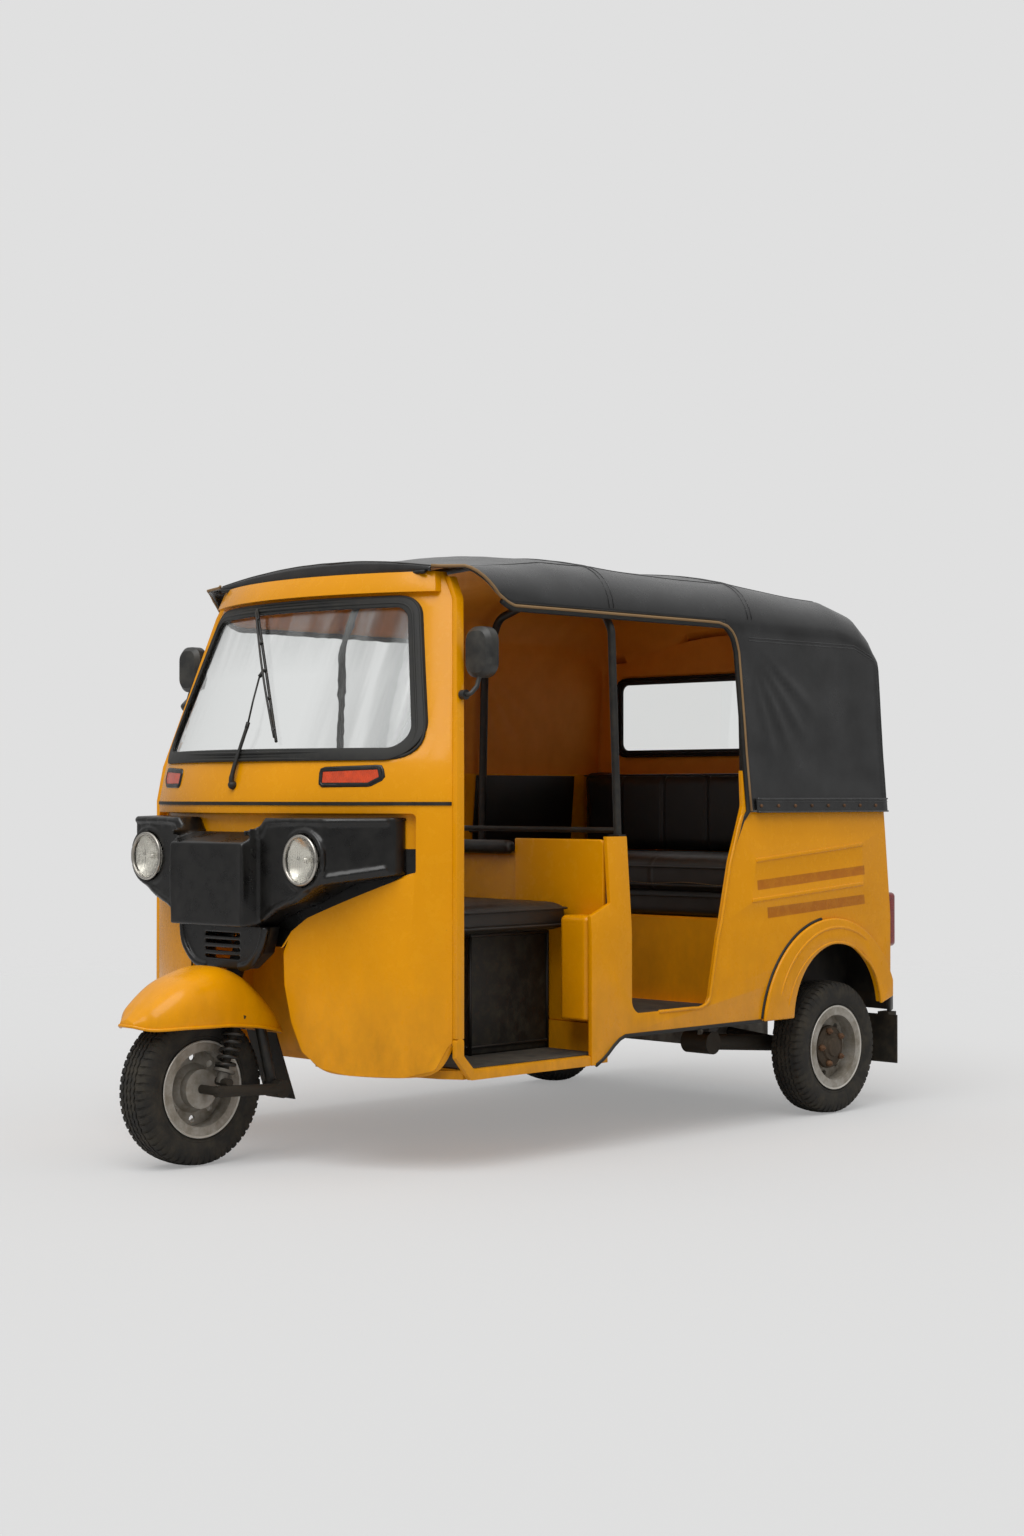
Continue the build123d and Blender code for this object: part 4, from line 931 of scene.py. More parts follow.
def newTree(name, sockets):
    tree = bpy.data.node_groups.new(name, "GeometryNodeTree")
    tree.interface.new_socket("Geometry", in_out="INPUT", socket_type="NodeSocketGeometry")
    for label, kind, value in sockets:
        socket = tree.interface.new_socket(label, in_out="INPUT", socket_type="NodeSocket" + kind)
        if value is not None:
            socket.default_value = value
    tree.interface.new_socket("Geometry", in_out="OUTPUT", socket_type="NodeSocketGeometry")
    return tree, addNode(tree, "NodeGroupInput").outputs


def closeTree(tree, instances, material):
    real = addNode(tree, "GeometryNodeRealizeInstances", links=[("Geometry", instances)])
    painted = addNode(tree, "GeometryNodeSetMaterial",
                      links=[("Geometry", real.outputs[0]), ("Material", material)])
    addNode(tree, "NodeGroupOutput", links=[(0, painted.outputs[0])])
    return tree


def ringTree():
    # copies of the piece's own mesh turned about an axle along X, out at a radius
    tree, given = newTree("ringOfCopies", [("Count", "Int", 8), ("Radius", "Float", 0.1),
                                           ("Centre", "Vector", None), ("Phase", "Float", 0.0),
                                           ("Finish", "Material", None)])
    line = addNode(tree, "GeometryNodeMeshLine", mode="OFFSET",
                   links=[("Count", given["Count"]), ("Start Location", given["Centre"])])
    line.inputs["Offset"].default_value = (0, 0, 0)
    out = addNode(tree, "ShaderNodeCombineXYZ", links=[("Z", given["Radius"])])
    item = addNode(tree, "GeometryNodeTransform",
                   links=[("Geometry", given["Geometry"]), ("Translation", out.outputs[0])])
    step = addNode(tree, "ShaderNodeMath", operation="DIVIDE", links=[(1, given["Count"])])
    step.inputs[0].default_value = 2 * math.pi
    index = addNode(tree, "GeometryNodeInputIndex")
    angle = addNode(tree, "ShaderNodeMath", operation="MULTIPLY_ADD",
                    links=[(0, index.outputs[0]), (1, step.outputs[0]), (2, given["Phase"])])
    turn = addNode(tree, "ShaderNodeCombineXYZ", links=[("X", angle.outputs[0])])
    copies = addNode(tree, "GeometryNodeInstanceOnPoints", links=[
        ("Points", line.outputs[0]), ("Instance", item.outputs[0]), ("Rotation", turn.outputs[0])])
    return closeTree(tree, copies.outputs[0], given["Finish"])


def rowTree():
    # copies of the piece's own mesh along a straight row
    tree, given = newTree("rowOfCopies", [("Count", "Int", 8), ("Start", "Vector", None),
                                          ("Step", "Vector", None), ("Finish", "Material", None)])
    line = addNode(tree, "GeometryNodeMeshLine", mode="OFFSET", links=[
        ("Count", given["Count"]), ("Start Location", given["Start"]), ("Offset", given["Step"])])
    copies = addNode(tree, "GeometryNodeInstanceOnPoints",
                     links=[("Points", line.outputs[0]), ("Instance", given["Geometry"])])
    return closeTree(tree, copies.outputs[0], given["Finish"])


def stitchTree():
    # thread stitches along the piece's own polyline
    tree, given = newTree("stitchLine", [("Pitch", "Float", 0.008), ("Length", "Float", 0.005),
                                         ("Thread", "Float", 0.0008), ("Finish", "Material", None)])
    curve = addNode(tree, "GeometryNodeMeshToCurve", links=[("Mesh", given["Geometry"])])
    points = addNode(tree, "GeometryNodeCurveToPoints", mode="LENGTH",
                     links=[("Curve", curve.outputs[0]), ("Length", given["Pitch"])])
    turn = addNode(tree, "FunctionNodeAlignRotationToVector", axis="Z",
                   links=[("Vector", points.outputs["Tangent"])])
    stitch = addNode(tree, "GeometryNodeMeshCylinder", Vertices=5,
                     links=[("Radius", given["Thread"]), ("Depth", given["Length"])])
    copies = addNode(tree, "GeometryNodeInstanceOnPoints", links=[
        ("Points", points.outputs["Points"]), ("Instance", stitch.outputs[0]), ("Rotation", turn.outputs[0])])
    return closeTree(tree, copies.outputs[0], given["Finish"])


trees = {"ring": ringTree(), "row": rowTree(), "stitch": stitchTree()}


def grown(name, tree, build, material, body="body", **inputs):
    # a piece that a tree makes from the mesh that build fills
    def whole(bm):
        build(bm)
        bmesh.ops.recalc_face_normals(bm, faces=bm.faces)
    seed = bpy.data.objects.new(name + "Seed", filled(name + "Seed", whole))
    bpy.context.collection.objects.link(seed)
    modifier = modify(seed, "copies", "NODES", node_group=trees[tree])
    inputs["Finish"] = material
    for item in trees[tree].interface.items_tree:
        if item.in_out == "INPUT" and item.name in inputs:
            modifier[item.identifier] = inputs[item.name]
    graph = bpy.context.evaluated_depsgraph_get()
    made = bpy.data.meshes.new_from_object(seed.evaluated_get(graph))
    bpy.data.objects.remove(seed)
    made.name = name
    return register(name, made, material, body)


# softened copies of pressed and moulded CAD pieces

def cadCopy(name, nodeName, finishName, body="body"):
    # a piece from a CAD node, its doubled points and flat facets joined
    def build(bm):
        bm.from_mesh(nodes[nodeName].data)
        bmesh.ops.remove_doubles(bm, verts=bm.verts, dist=2e-5)
        bmesh.ops.dissolve_limit(bm, angle_limit=math.radians(0.6), verts=bm.verts, edges=bm.edges)
    return register(name, filled(name, build), finish[finishName], body)


softEdges = (  # node, edge radius in millimetres, finish
    ("side_boxes", 7, "paint"), ("half_partition", 4, "paint"), ("cowl", 6.5, "paint"),
             ("door_surrounds", 5, "paint"),
    ("wheel_arches", 5.5, "paint"), ("side_panel_left", 3, "paintSide"), ("side_panel_right", 3, "paintSide"),
    ("rear_bumper", 4, "steel"), ("tail_lamps", 7, "redLens"), ("windscreen_seal", 7, "seal"),
    ("rear_window_seal", 5, "seal"), ("engine_door", 2, "paint"), ("rear_wall", 2, "paint"),
    ("mirrors", 6, "trimPlastic"), ("driver_seat_box", 6, "boxSteel"), ("dashboard", 6, "plastic"),
    ("indicator_frames", 2, "plastic"),
)


def soften():
    for nodeName, radius, finishName in softEdges:
        body = nodeName if nodeName == "engine_door" else "body"
        piece = cadCopy("soft_" + nodeName, nodeName, finishName, body)
        modify(piece, "edges", "BEVEL", width=radius / 1000, segments=3, limit_method="ANGLE",
               angle_limit=math.radians(32), use_clamp_overlap=True, miter_outer="MITER_ARC")
        applied(piece)
        sharpen(piece, 42)
        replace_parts(piece, nodeName)


soften()
print("soft edges made")


# places found by rays on to the surfaces

def surfaceTree(*nodeNames):
    points, faces = [], []
    for nodeName in nodeNames:
        mesh = nodes[nodeName].data
        start = len(points)
        points += [v.co.copy() for v in mesh.vertices]
        faces += [[start + i for i in p.vertices] for p in mesh.polygons]
    return BVHTree.FromPolygons(points, faces)


def onFront(tree, x, z, out=0.0):
    # the front surface at a front-view place, in millimetres from the middle of the wheelbase
    hit = tree.ray_cast(at(x, -1600, z), Vector((0, 1, 0)))[0]
    return hit - Vector((0, out / 1000, 0)) if hit is not None else None


def onSide(tree, y, z, sign=1, out=0.0):
    # the same from the vehicle's left, or from its right with sign -1
    hit = tree.ray_cast(at(sign * 900, y, z), Vector((-sign, 0, 0)))[0]
    return hit + Vector((sign * out / 1000, 0, 0)) if hit is not None else None


def found(places):
    return [p for p in places if p is not None]


def mirrored(path, sign=-1):
    return [Vector((sign * p.x, p.y, p.z)) for p in path]


def roundedOutline(corners, radius, steps=6):
    # a closed outline with rounded corners, from (a, b) pairs
    out = []
    for i, corner in enumerate(corners):
        p = Vector(corner)
        before = Vector(corners[i - 1]) - p
        after = Vector(corners[(i + 1) % len(corners)]) - p
        turn = before.angle(after)
        reach = min(radius / math.tan(turn / 2), before.length * 0.48, after.length * 0.48)
        a, b = p + before.normalized() * reach, p + after.normalized() * reach
        for t in (k / steps for k in range(steps + 1)):
            out.append(tuple(a * (1 - t) ** 2 + p * 2 * t * (1 - t) + b * t * t))
    return out


def resampleClosed(outline, step):
    ring = list(outline) + [outline[0]]
    length = sum(math.dist(p, q) for p, q in zip(ring, ring[1:]))
    return resample(ring, max(8, int(length / step)))[:-1]


# lamp panel: one soft moulding with a shelf over the centre block, lips and lamp rims

lampPanel = {"voxel": 4.8, "rounds": 9, "lip": 9, "rim": 74,
             "lower": ((178, 652), (230, 684), (300, 712), (385, 760), (498, 786)),
             "upper": ((168, 868), (192, 905), (260, 909), (380, 908), (500, 909)),
             "edge": ((148, -950, 846), (150, -950, 740), (146, -948, 642)),
             "shelfFront": (152, -952, 838, 852),
             "shelfBack": (172, -862, 838, 884)}  # half width, y, low, high
duct = {"voxel": 3.2, "rounds": 5,
        "horn": ((176, -892, 628), (160, -896, 575), (118, -894, 530), (70, -890, 519))}
headlamp = {"x": 329, "z": 809, "rimY": -891, "ringY": -900, "bowlY": -893, "lensY": -901,
            "ring": 62.5, "ringWire": 4.5, "bowl": 60, "lens": 59.5, "dome": 7.5, "flute": 7.5,
            "fluteDepth": 0.55, "plainEdge": 54}


def melted(name, nodeName, extra, form):
    # a CAD solid and added forms fused and softened into one moulding
    def build(bm):
        bm.from_mesh(nodes[nodeName].data)
        bmesh.ops.remove_doubles(bm, verts=bm.verts, dist=2e-5)
        extra(bm)
    piece = register(name, filled(name, build), finish["plastic"])
    modify(piece, "fuse", "REMESH", mode="VOXEL", voxel_size=form["voxel"] / 1000)
    modify(piece, "soften", "LAPLACIANSMOOTH", iterations=form["rounds"], lambda_factor=1.0,
           lambda_border=0.0, use_volume_preserve=True)
    applied(piece)
    piece.data.shade_smooth()
    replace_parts(piece, nodeName)


def panelForms(bm):
    surface = surfaceTree("lamp_panel")
    for sign in (1, -1):
        for line in (lampPanel["lower"], lampPanel["upper"]):
            places = resample([(sign * x, z) for x, z in line], 26)
            tube(bm, found(onFront(surface, x, z, -3) for x, z in places), lampPanel["lip"] / 1000, 10)
        rim = [at(sign * headlamp["x"] + lampPanel["rim"] * math.cos(a), headlamp["rimY"],
                  headlamp["z"] + lampPanel["rim"] * math.sin(a))
               for a in (2 * math.pi * k / 40 for k in range(40))]
        tube(bm, rim, 0.0085, 10, closed=True)
        # the block's own edge roll
        tube(bm, smoothPath([at(sign * x, y, z) for x, y, z in lampPanel["edge"]], 8), 0.007, 10)
    for v in bmesh.ops.create_cube(bm, size=1.0)["verts"]:
        half, y, low, high = lampPanel["shelfBack" if v.co.y > 0 else "shelfFront"]
        v.co = at(v.co.x * 2 * half, y, high if v.co.z > 0 else low)


def ductForms(bm):
    for sign in (1, -1):
        tube(bm, smoothPath([at(sign * x, y, z) for x, y, z in duct["horn"]], 8), 0.011, 10)


melted("lamp_moulding", "lamp_panel", panelForms, lampPanel)
melted("duct_moulding", "air_duct", ductForms, duct)
print("lamp panel made")


# headlamps: chrome ring, silvered bowl, fluted lens

def makeHeadlamps():
    forward = Vector((0, 1, 0))

    def centre(sign, y):
        return at(sign * headlamp["x"], y, headlamp["z"])

    def ringForm(bm):
        wire = headlamp["ringWire"] / 1000
        section = [(-0.003 + wire * math.cos(a), headlamp["ring"] / 1000 + wire * math.sin(a))
                   for a in (2 * math.pi * k / 14 for k in range(15))]
        for sign in (1, -1):
            lathe(bm, section, centre(sign, headlamp["ringY"]), forward, 64)

    def bowlForm(bm):
        section = [(0.03 * (1 - (r / headlamp["bowl"]) ** 2), r / 1000)
                   for r in (0, 6, 14, 24, 34, 44, 52, 60)]
        bulb = [(0.004, 0.0), (0.006, 0.006), (0.014, 0.009), (0.026, 0.007)]
        for sign in (1, -1):
            lathe(bm, section, centre(sign, headlamp["bowlY"]), forward, 56)
            lathe(bm, bulb, centre(sign, headlamp["bowlY"]), forward, 20)

    def lensForm(bm):
        rows, steps, radius = 26, 96, headlamp["lens"]
        for sign in (1, -1):
            rings = []
            for i in range(rows + 1):
                r = radius * i / rows
                ring = []
                for k in range(steps if i else 1):
                    a = 2 * math.pi * k / steps
                    x, z = r * math.cos(a), r * math.sin(a)
                    flute = 0
                    if r < headlamp["plainEdge"]:
                        flute = headlamp["fluteDepth"] * abs(math.sin(x * math.pi / headlamp["flute"]))
                    bar = 0.5 if abs(z - 4) < 2.5 else 0
                    out = headlamp["dome"] * (1 - (r / radius) ** 2) + flute + bar
                    ring.append(bm.verts.new(centre(sign, headlamp["lensY"]) + Vector((x, -out, z)) / 1000))
                rings.append(ring)
            bridge(bm, rings)

    meshOf("lamp_rings", ringForm, finish["chromeRing"])
    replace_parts(meshOf("lamp_reflectors", bowlForm, finish["reflector"]), "headlamp_bowls")
    lens = meshOf("lamp_glasses", lensForm, finish["lampGlass"])
    modify(lens, "wall", "SOLIDIFY", thickness=0.003, offset=-1)
    applied(lens)
    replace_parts(lens, "headlamp_lenses")


makeHeadlamps()


# front fender: a smooth dome with a pinched crease to its tip and a rolled lip

fender = {"wall": 3.5, "around": 56, "lip": 4.5, "sidePower": 0.62, "topPower": 0.78,
          "creaseFrom": -1040, "creaseLength": 150, "creaseHeight": 5, "creaseWidth": 12,
          "stations": ((-1209, 30, 380, 392), (-1185, 58, 373, 415), (-1160, 84, 372, 438),
                       (-1090, 109, 374, 487), (-1020, 115, 373, 513), (-960, 116, 372, 524),
                       (-905, 116, 367, 511), (-860, 116, 362, 482),
                       (-800, 110, 350, 420), (-772, 98, 342, 372))}  # y, half width, low, top


def makeFender():
    around = fender["around"]
    grid = []
    for y, half, low, top in smoothPath([Vector(station) for station in fender["stations"]], 9):
        crease = clamped((fender["creaseFrom"] - y) / fender["creaseLength"]) * fender["creaseHeight"]
        ring = []
        for k in range(around + 1):
            c, s = math.cos(math.pi * k / around), math.sin(math.pi * k / around)
            x = half * math.copysign(abs(c) ** fender["sidePower"], c)
            z = low + (top - low) * abs(s) ** fender["topPower"]
            z += crease * math.exp(-(x / fender["creaseWidth"]) ** 2)
            ring.append(at(x, y, z))
        grid.append(ring)
    width = around + 1
    faces = [(j * width + k, j * width + k + 1, (j + 1) * width + k + 1, (j + 1) * width + k)
             for j in range(len(grid) - 1) for k in range(around)]
    faces.append(tuple(range(width))[::-1])
    piece = newPiece("fender_shell", [p for ring in grid for p in ring], faces, finish["paint"], "steering")

    def faceOut(bm):
        bmesh.ops.recalc_face_normals(bm, faces=bm.faces)
        if max(bm.faces, key=lambda f: f.calc_center_median().z).normal.z < 0:
            bmesh.ops.reverse_faces(bm, faces=bm.faces)
    reworked(piece, faceOut)
    modify(piece, "wall", "SOLIDIFY", thickness=fender["wall"] / 1000, offset=-1)
    applied(piece)
    sharpen(piece, 50)
    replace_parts(piece, "front_fender")
    edge = [ring[0] for ring in grid][::-1] + [ring[-1] for ring in grid]
    meshOf("fender_lip", lambda bm: tube(bm, edge, fender["lip"] / 1000, 10, closed=True), finish["paint"],
           "steering")


makeFender()
print("fender made")


# wheels: tyres with a road tread, bright flanges, hub drums and nuts

wheels = (("front", (0, -1000, 203)), ("rear_left", (573, 1000, 203)), ("rear_right", (-573, 1000, 203)))
tyre = {"radius": 203, "crown": 0.0021, "groove": 4.2, "lugs": 58, "cut": 4.0, "rib": 1.6, "zigzag": 2.2,
        "side": ((47.5, 196.0), (51.5, 190), (54.6, 180), (56.0, 168), (55.4, 156), (52.5, 144),
                 (51.0, 141), (51.6, 138), (47.0, 130), (43.5, 125), (40, 124)),
        "tread": (0, 5.2, 5.8, 10.2, 10.8, 20.5, 21.1, 25.7, 26.3, 36.0, 40.5, 44.5),
        "grooves": (5.8, 10.2, 21.1, 25.7),
        "steps": ((0.0, 0), (0.3, 0), (0.62, 0), (0.66, 1), (0.94, 1),
                  (0.98, 0))}  # share of a lug, whether cut
wheel = {"flange": ((38, 121), (44, 122.5), (48, 126), (51, 129), (52.5, 127.5), (50.5, 123.5), (46, 119.5),
                    (38, 117), (24, 113), (20, 112)),
         "drum": ((18, 66), (27, 64), (31, 58), (32, 44), (38, 40), (40, 30), (46, 27), (48, 20), (49, 0)),
         "nuts": 5, "nutCircle": 0.052, "nutOut": 35,
         "nut": ((6, 0.0105, 0.0095, 0.014), (12, 0.0052, 0.0045, 0.026))}


def makeTyre(label, body, centre):
    # lateral points: (u, r, on the tread); the grooves' floors lie between paired lines
    half = [(u, tyre["radius"] - tyre["crown"] * u * u - (tyre["groove"] if u in tyre["grooves"] else 0),
             True)
            for u in tyre["tread"]]
    half += [(u, r, False) for u, r in tyre["side"]]
    line = [(-u, r, tread) for u, r, tread in reversed(half)] + half[1:]

    def build(bm):
        rings = []
        for lug, (part, low) in ((lug, step) for lug in range(tyre["lugs"]) for step in tyre["steps"]):
            zig = tyre["zigzag"] * math.sin(2 * math.pi * (lug + part))
            ring = []
            for u, r, tread in line:
                if low and (abs(u) > 30 if tread else abs(u) > 47 and r > 176):
                    r -= tyre["cut"]
                if low and tread and abs(u) < 5.5:
                    r -= tyre["rib"]
                lean = 0.018 * math.copysign(1, u) * (abs(u) - 30) / 20 if abs(u) > 30 else 0
                a = 2 * math.pi * (lug + part) / tyre["lugs"] + lean
                across = u + zig if tread and 0 < abs(u) < 30 else u
                ring.append(bm.verts.new(at(*centre) + Vector((across, r * math.sin(a),
                                                               r * math.cos(a))) / 1000))
            rings.append(ring)
        bridge(bm, rings, closed=True)
    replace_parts(meshOf(label + "_tyre_body", build, finish["tyre"], body, angle=34), label + "_tyre")


def makeWheel(label, body, centre):
    def turned(section, sides):
        def build(bm):
            for side in sides:
                lathe(bm, [(side * u / 1000, r / 1000) for u, r in section], at(*centre), steps=72)
        return build
    meshOf(label + "_flanges", turned(wheel["flange"], (1, -1)), finish["rimBright"], body, angle=50)
    if label == "front":
        return
    side = -1 if label == "rear_right" else 1
    meshOf(label + "_hub_drum", turned(wheel["drum"], (side,)), finish["hub"], body, angle=40)

    def nut(bm):
        for segments, low, high, depth in wheel["nut"]:
            bmesh.ops.create_cone(bm, cap_ends=True, segments=segments, radius1=low, radius2=high,
                                  depth=depth, matrix=Matrix.Rotation(math.pi / 2, 4, "Y"))
    grown(label + "_nuts", "ring", nut, finish["rust"], body, Count=wheel["nuts"], Radius=wheel["nutCircle"],
          Centre=at(centre[0] + side * wheel["nutOut"], centre[1], centre[2]), Phase=0.3)


for label, centre in wheels:
    makeTyre(label, label + "_wheel", centre)
    makeWheel(label, label + "_wheel", centre)
print("wheels made")


# front spring: wound coil over the damper, with cups

spring = {"low": (86, -957, 251), "high": (86, -911, 392), "turns": 7.2, "steps": 26, "radius": 0.0235,
          "wire": 0.0048,
          "cup": ((-0.034, 0.0), (-0.034, 0.013), (-0.006, 0.0165), (-0.004, 0.029), (0.004, 0.029),
                  (0.004, 0.012)),
          "topCup": ((-0.006, 0.012), (-0.006, 0.030), (0.003, 0.030), (0.012, 0.02), (0.014, 0.0))}


def makeSpring():
    low, high = at(*spring["low"]), at(*spring["high"])
    axis = (high - low).normalized()
    side = axis.orthogonal().normalized()
    other = axis.cross(side)
    path = []
    for k in range(int(spring["turns"] * spring["steps"]) + 1):
        t = k / (spring["turns"] * spring["steps"])
        a = 2 * math.pi * spring["turns"] * t
        path.append(low + (high - low) * t + (side * math.cos(a) + other * math.sin(a)) * spring["radius"])
    coil = meshOf("spring_coil", lambda bm: tube(bm, path, spring["wire"], 10), finish["springBlack"],
                  "steering")
    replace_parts(coil, "front_spring")
    meshOf("spring_cup", lambda bm: lathe(bm, spring["cup"], low, axis, 32), finish["alloy"], "steering",
           angle=40)
    meshOf("spring_top_cup", lambda bm: lathe(bm, spring["topCup"], high, axis, 32), finish["springBlack"],
           "steering", angle=40)


makeSpring()
print("spring made")


# seats: sewn covers over foam, puffed by cloth pressure

cushions = {"voxel": 9, "pressure": 3.0, "frames": 16, "piping": 0.0032}


def nodeBox(nodeName):
    points = [v.co for v in nodes[nodeName].data.vertices]
    return (Vector([min(p[k] for p in points) for k in range(3)]),
            Vector([max(p[k] for p in points) for k in range(3)]))


def puffed(name, low, high, radius, cap, seams=(), crown=0.0, wrinkle=0.0012, voxel=cushions["voxel"]):
    # seams are (x, depth, width) lines where the cover is sewn down
    piece = register(name, filled(name, lambda bm: roundedBox(bm, low, high, radius, 4)), finish["seat"],
                     "body")
    modify(piece, "even", "REMESH", mode="VOXEL", voxel_size=voxel / 1000)
    applied(piece)
    before = [v.co.copy() for v in piece.data.vertices]
    cloth = piece.modifiers.new("puff", "CLOTH")
    cloth.settings.quality = 4
    cloth.settings.use_pressure = True
    cloth.settings.uniform_pressure_force = cushions["pressure"]
    cloth.settings.effector_weights.gravity = 0
    cloth.point_cache.frame_start = 1
    cloth.point_cache.frame_end = cushions["frames"]
    for step in range(1, cushions["frames"] + 1):
        bpy.context.scene.frame_set(step)
    applied(piece)
    bpy.context.scene.frame_set(1)
    for v, old in zip(piece.data.vertices, before):
        move = v.co - old
        if move.length > cap:
            v.co = old + move.normalized() * cap
    modify(piece, "finer", "SUBSURF", levels=1, render_levels=1)
    applied(piece)
    middle, half = (low + high) / 2, (high - low) / 2

    def sew(bm):
        bm.normal_update()
        for v in bm.verts:
            offset = Vector([(v.co[k] - middle[k]) / half[k] for k in range(3)])
            swell = crown * max(0, 1 - offset.x ** 2) * max(0, 1 - offset.y ** 2) if offset.z > 0 else 0
            depth = sum(deep * math.exp(-((v.co.x - place) / width) ** 2) for place, deep, width in seams)
            pull = wrinkle * noise.noise(Vector((v.co.x * 22, v.co.y * 22, v.co.z * 12)))
            v.co += v.normal * (pull - depth)
            v.co.z += swell
    reworked(piece, sew)
    piece.data.shade_smooth()
    return piece


def loopAround(low, high, z, inset, radius=0.03):
    # a closed level path round a cushion's sides
    corners = [(low.x + inset, low.y + inset), (high.x - inset, low.y + inset),
               (high.x - inset, high.y - inset), (low.x + inset, high.y - inset)]
    return [Vector((x, y, z)) for x, y in roundedOutline(corners, radius, 6)]


def pipingLoops(name, low, high, loops):
    def build(bm):
        for z, inset in loops:
            tube(bm, loopAround(low, high, z, inset), cushions["piping"], 8, closed=True)
    meshOf(name, build, finish["seat"])


def makeSeats():
    # driver's bench: one boxed cushion with piped edges
    low, high = nodeBox("driver_seat")
    inset = Vector((0.004, 0.004, 0.002))
    seat = puffed("driver_cushion", low + inset, high - inset - Vector((0, 0, 0.004)), 0.018, 0.007,
                  seams=[(x, 0.004, 0.006) for x in (-0.16, 0.16)], crown=0.008)
    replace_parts(seat, "driver_seat")
    pipingLoops("driver_piping", low, high, ((high.z - 0.017, 0.0035), (low.z + 0.012, 0.0035)))
    # passengers' bench: upper cushion over a lower one that is set back
    low, high = nodeBox("bench_cushion")
    waist = low.z + (high.z - low.z) * 0.47
    upper = puffed("bench_upper", Vector((low.x + 0.004, low.y + 0.004, waist - 0.004)), high - inset,
                   0.026, 0.009, seams=[(x, 0.003, 0.006) for x in (-0.19, 0.19)], crown=0.006, voxel=11)
    puffed("bench_lower", Vector((low.x + 0.006, low.y + 0.022, low.z + 0.001)),
           Vector((high.x - 0.006, high.y - 0.01, waist + 0.002)), 0.02, 0.006, voxel=14)
    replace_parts(upper, "bench_cushion")

    def benchPiping(bm):
        for z, inset in ((waist + 0.012, 0.004), (high.z - 0.024, 0.004), (waist - 0.02, 0.022)):
            path = [p + Vector((0, 0, 0.003 * math.sin(p.x * 23 + z * 90)))
                    for p in loopAround(low, high, z, inset, 0.035)]
            tube(bm, path, cushions["piping"], 8, closed=True)
    meshOf("bench_piping", benchPiping, finish["seat"])

    def stitches(bm):
        xs = [low.x + 0.03 + (high.x - low.x - 0.06) * k / 60 for k in range(61)]
        verts = [bm.verts.new((x, low.y - 0.001, waist + 0.020 + 0.003 * math.sin(x * 23))) for x in xs]
        for pair in zip(verts, verts[1:]):
            bm.edges.new(pair)
    grown("bench_stitches", "stitch", stitches, finish["piping"], Pitch=0.011, Length=0.0065, Thread=0.0009)

    # backrest with vertical sewn channels
    low, high = nodeBox("bench_back")
    channels = [(x, 0.007, 0.007) for x in (-0.38, -0.19, 0.0, 0.19, 0.38)]
    back = puffed("bench_backrest", low + inset, high - inset, 0.022, 0.008, seams=channels)
    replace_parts(back, "bench_back")
    pipingLoops("backrest_piping", low, high, ((high.z - 0.014, 0.004),))

    # pad roll behind the driver
    low, high = nodeBox("driver_back_pad")
    roll = puffed("driver_pad_roll", low, high, 0.014, 0.003, seams=((0.0, 0.003, 0.005),), wrinkle=0.0006)
    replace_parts(roll, "driver_back_pad")

    # seat box cover: vinyl with a hem roll and a corner seam
    low, high = nodeBox("driver_seat_box")

    def boxTrim(bm):
        for z, thick in ((high.z - 0.012, 0.006), (low.z + 0.022, 0.004)):
            tube(bm, loopAround(low, high, z, -0.001, 0.008), thick, 8, closed=True)
        for x in (low.x, high.x):
            for y in (low.y, high.y):
                tube(bm, [Vector((x, y, low.z)), Vector((x, y, high.z))], 0.005, 8)
    meshOf("seat_box_seams", boxTrim, finish["seat"])


makeSeats()
print("seats made")


# side pads stay thin: bevelled copies

def makeSidePads():
    pads = cadCopy("side_pads", "side_trim_pads", "seat")
    modify(pads, "edge", "BEVEL", width=0.006, segments=3)
    applied(pads)
    sharpen(pads, 40)
    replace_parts(pads, "side_trim_pads")


makeSidePads()


# canopy trim: piping along the gutter, seams over the bows, hem band with rivets

trim = {"piping": 4.2, "seam": 1.6, "doubleSeams": (8, 26, 622, 640), "shoulderX": 478,
        "hemHigh": 968, "hemLow": 926, "hemOut": 4.5, "hemEnd": 1262, "rivetZ": 946,
        "rivets": 8, "rivetStep": 0.082, "rearRivets": 13, "rearRivetStep": 0.095}


def onCanopy(tree, x, y, out=0.0):
    # the cloth's upper side above a place in plan
    hit, normal, _, _ = tree.ray_cast(at(x, y, 2000), Vector((0, 0, -1)))
    return hit + normal * out / 1000 if hit is not None else None


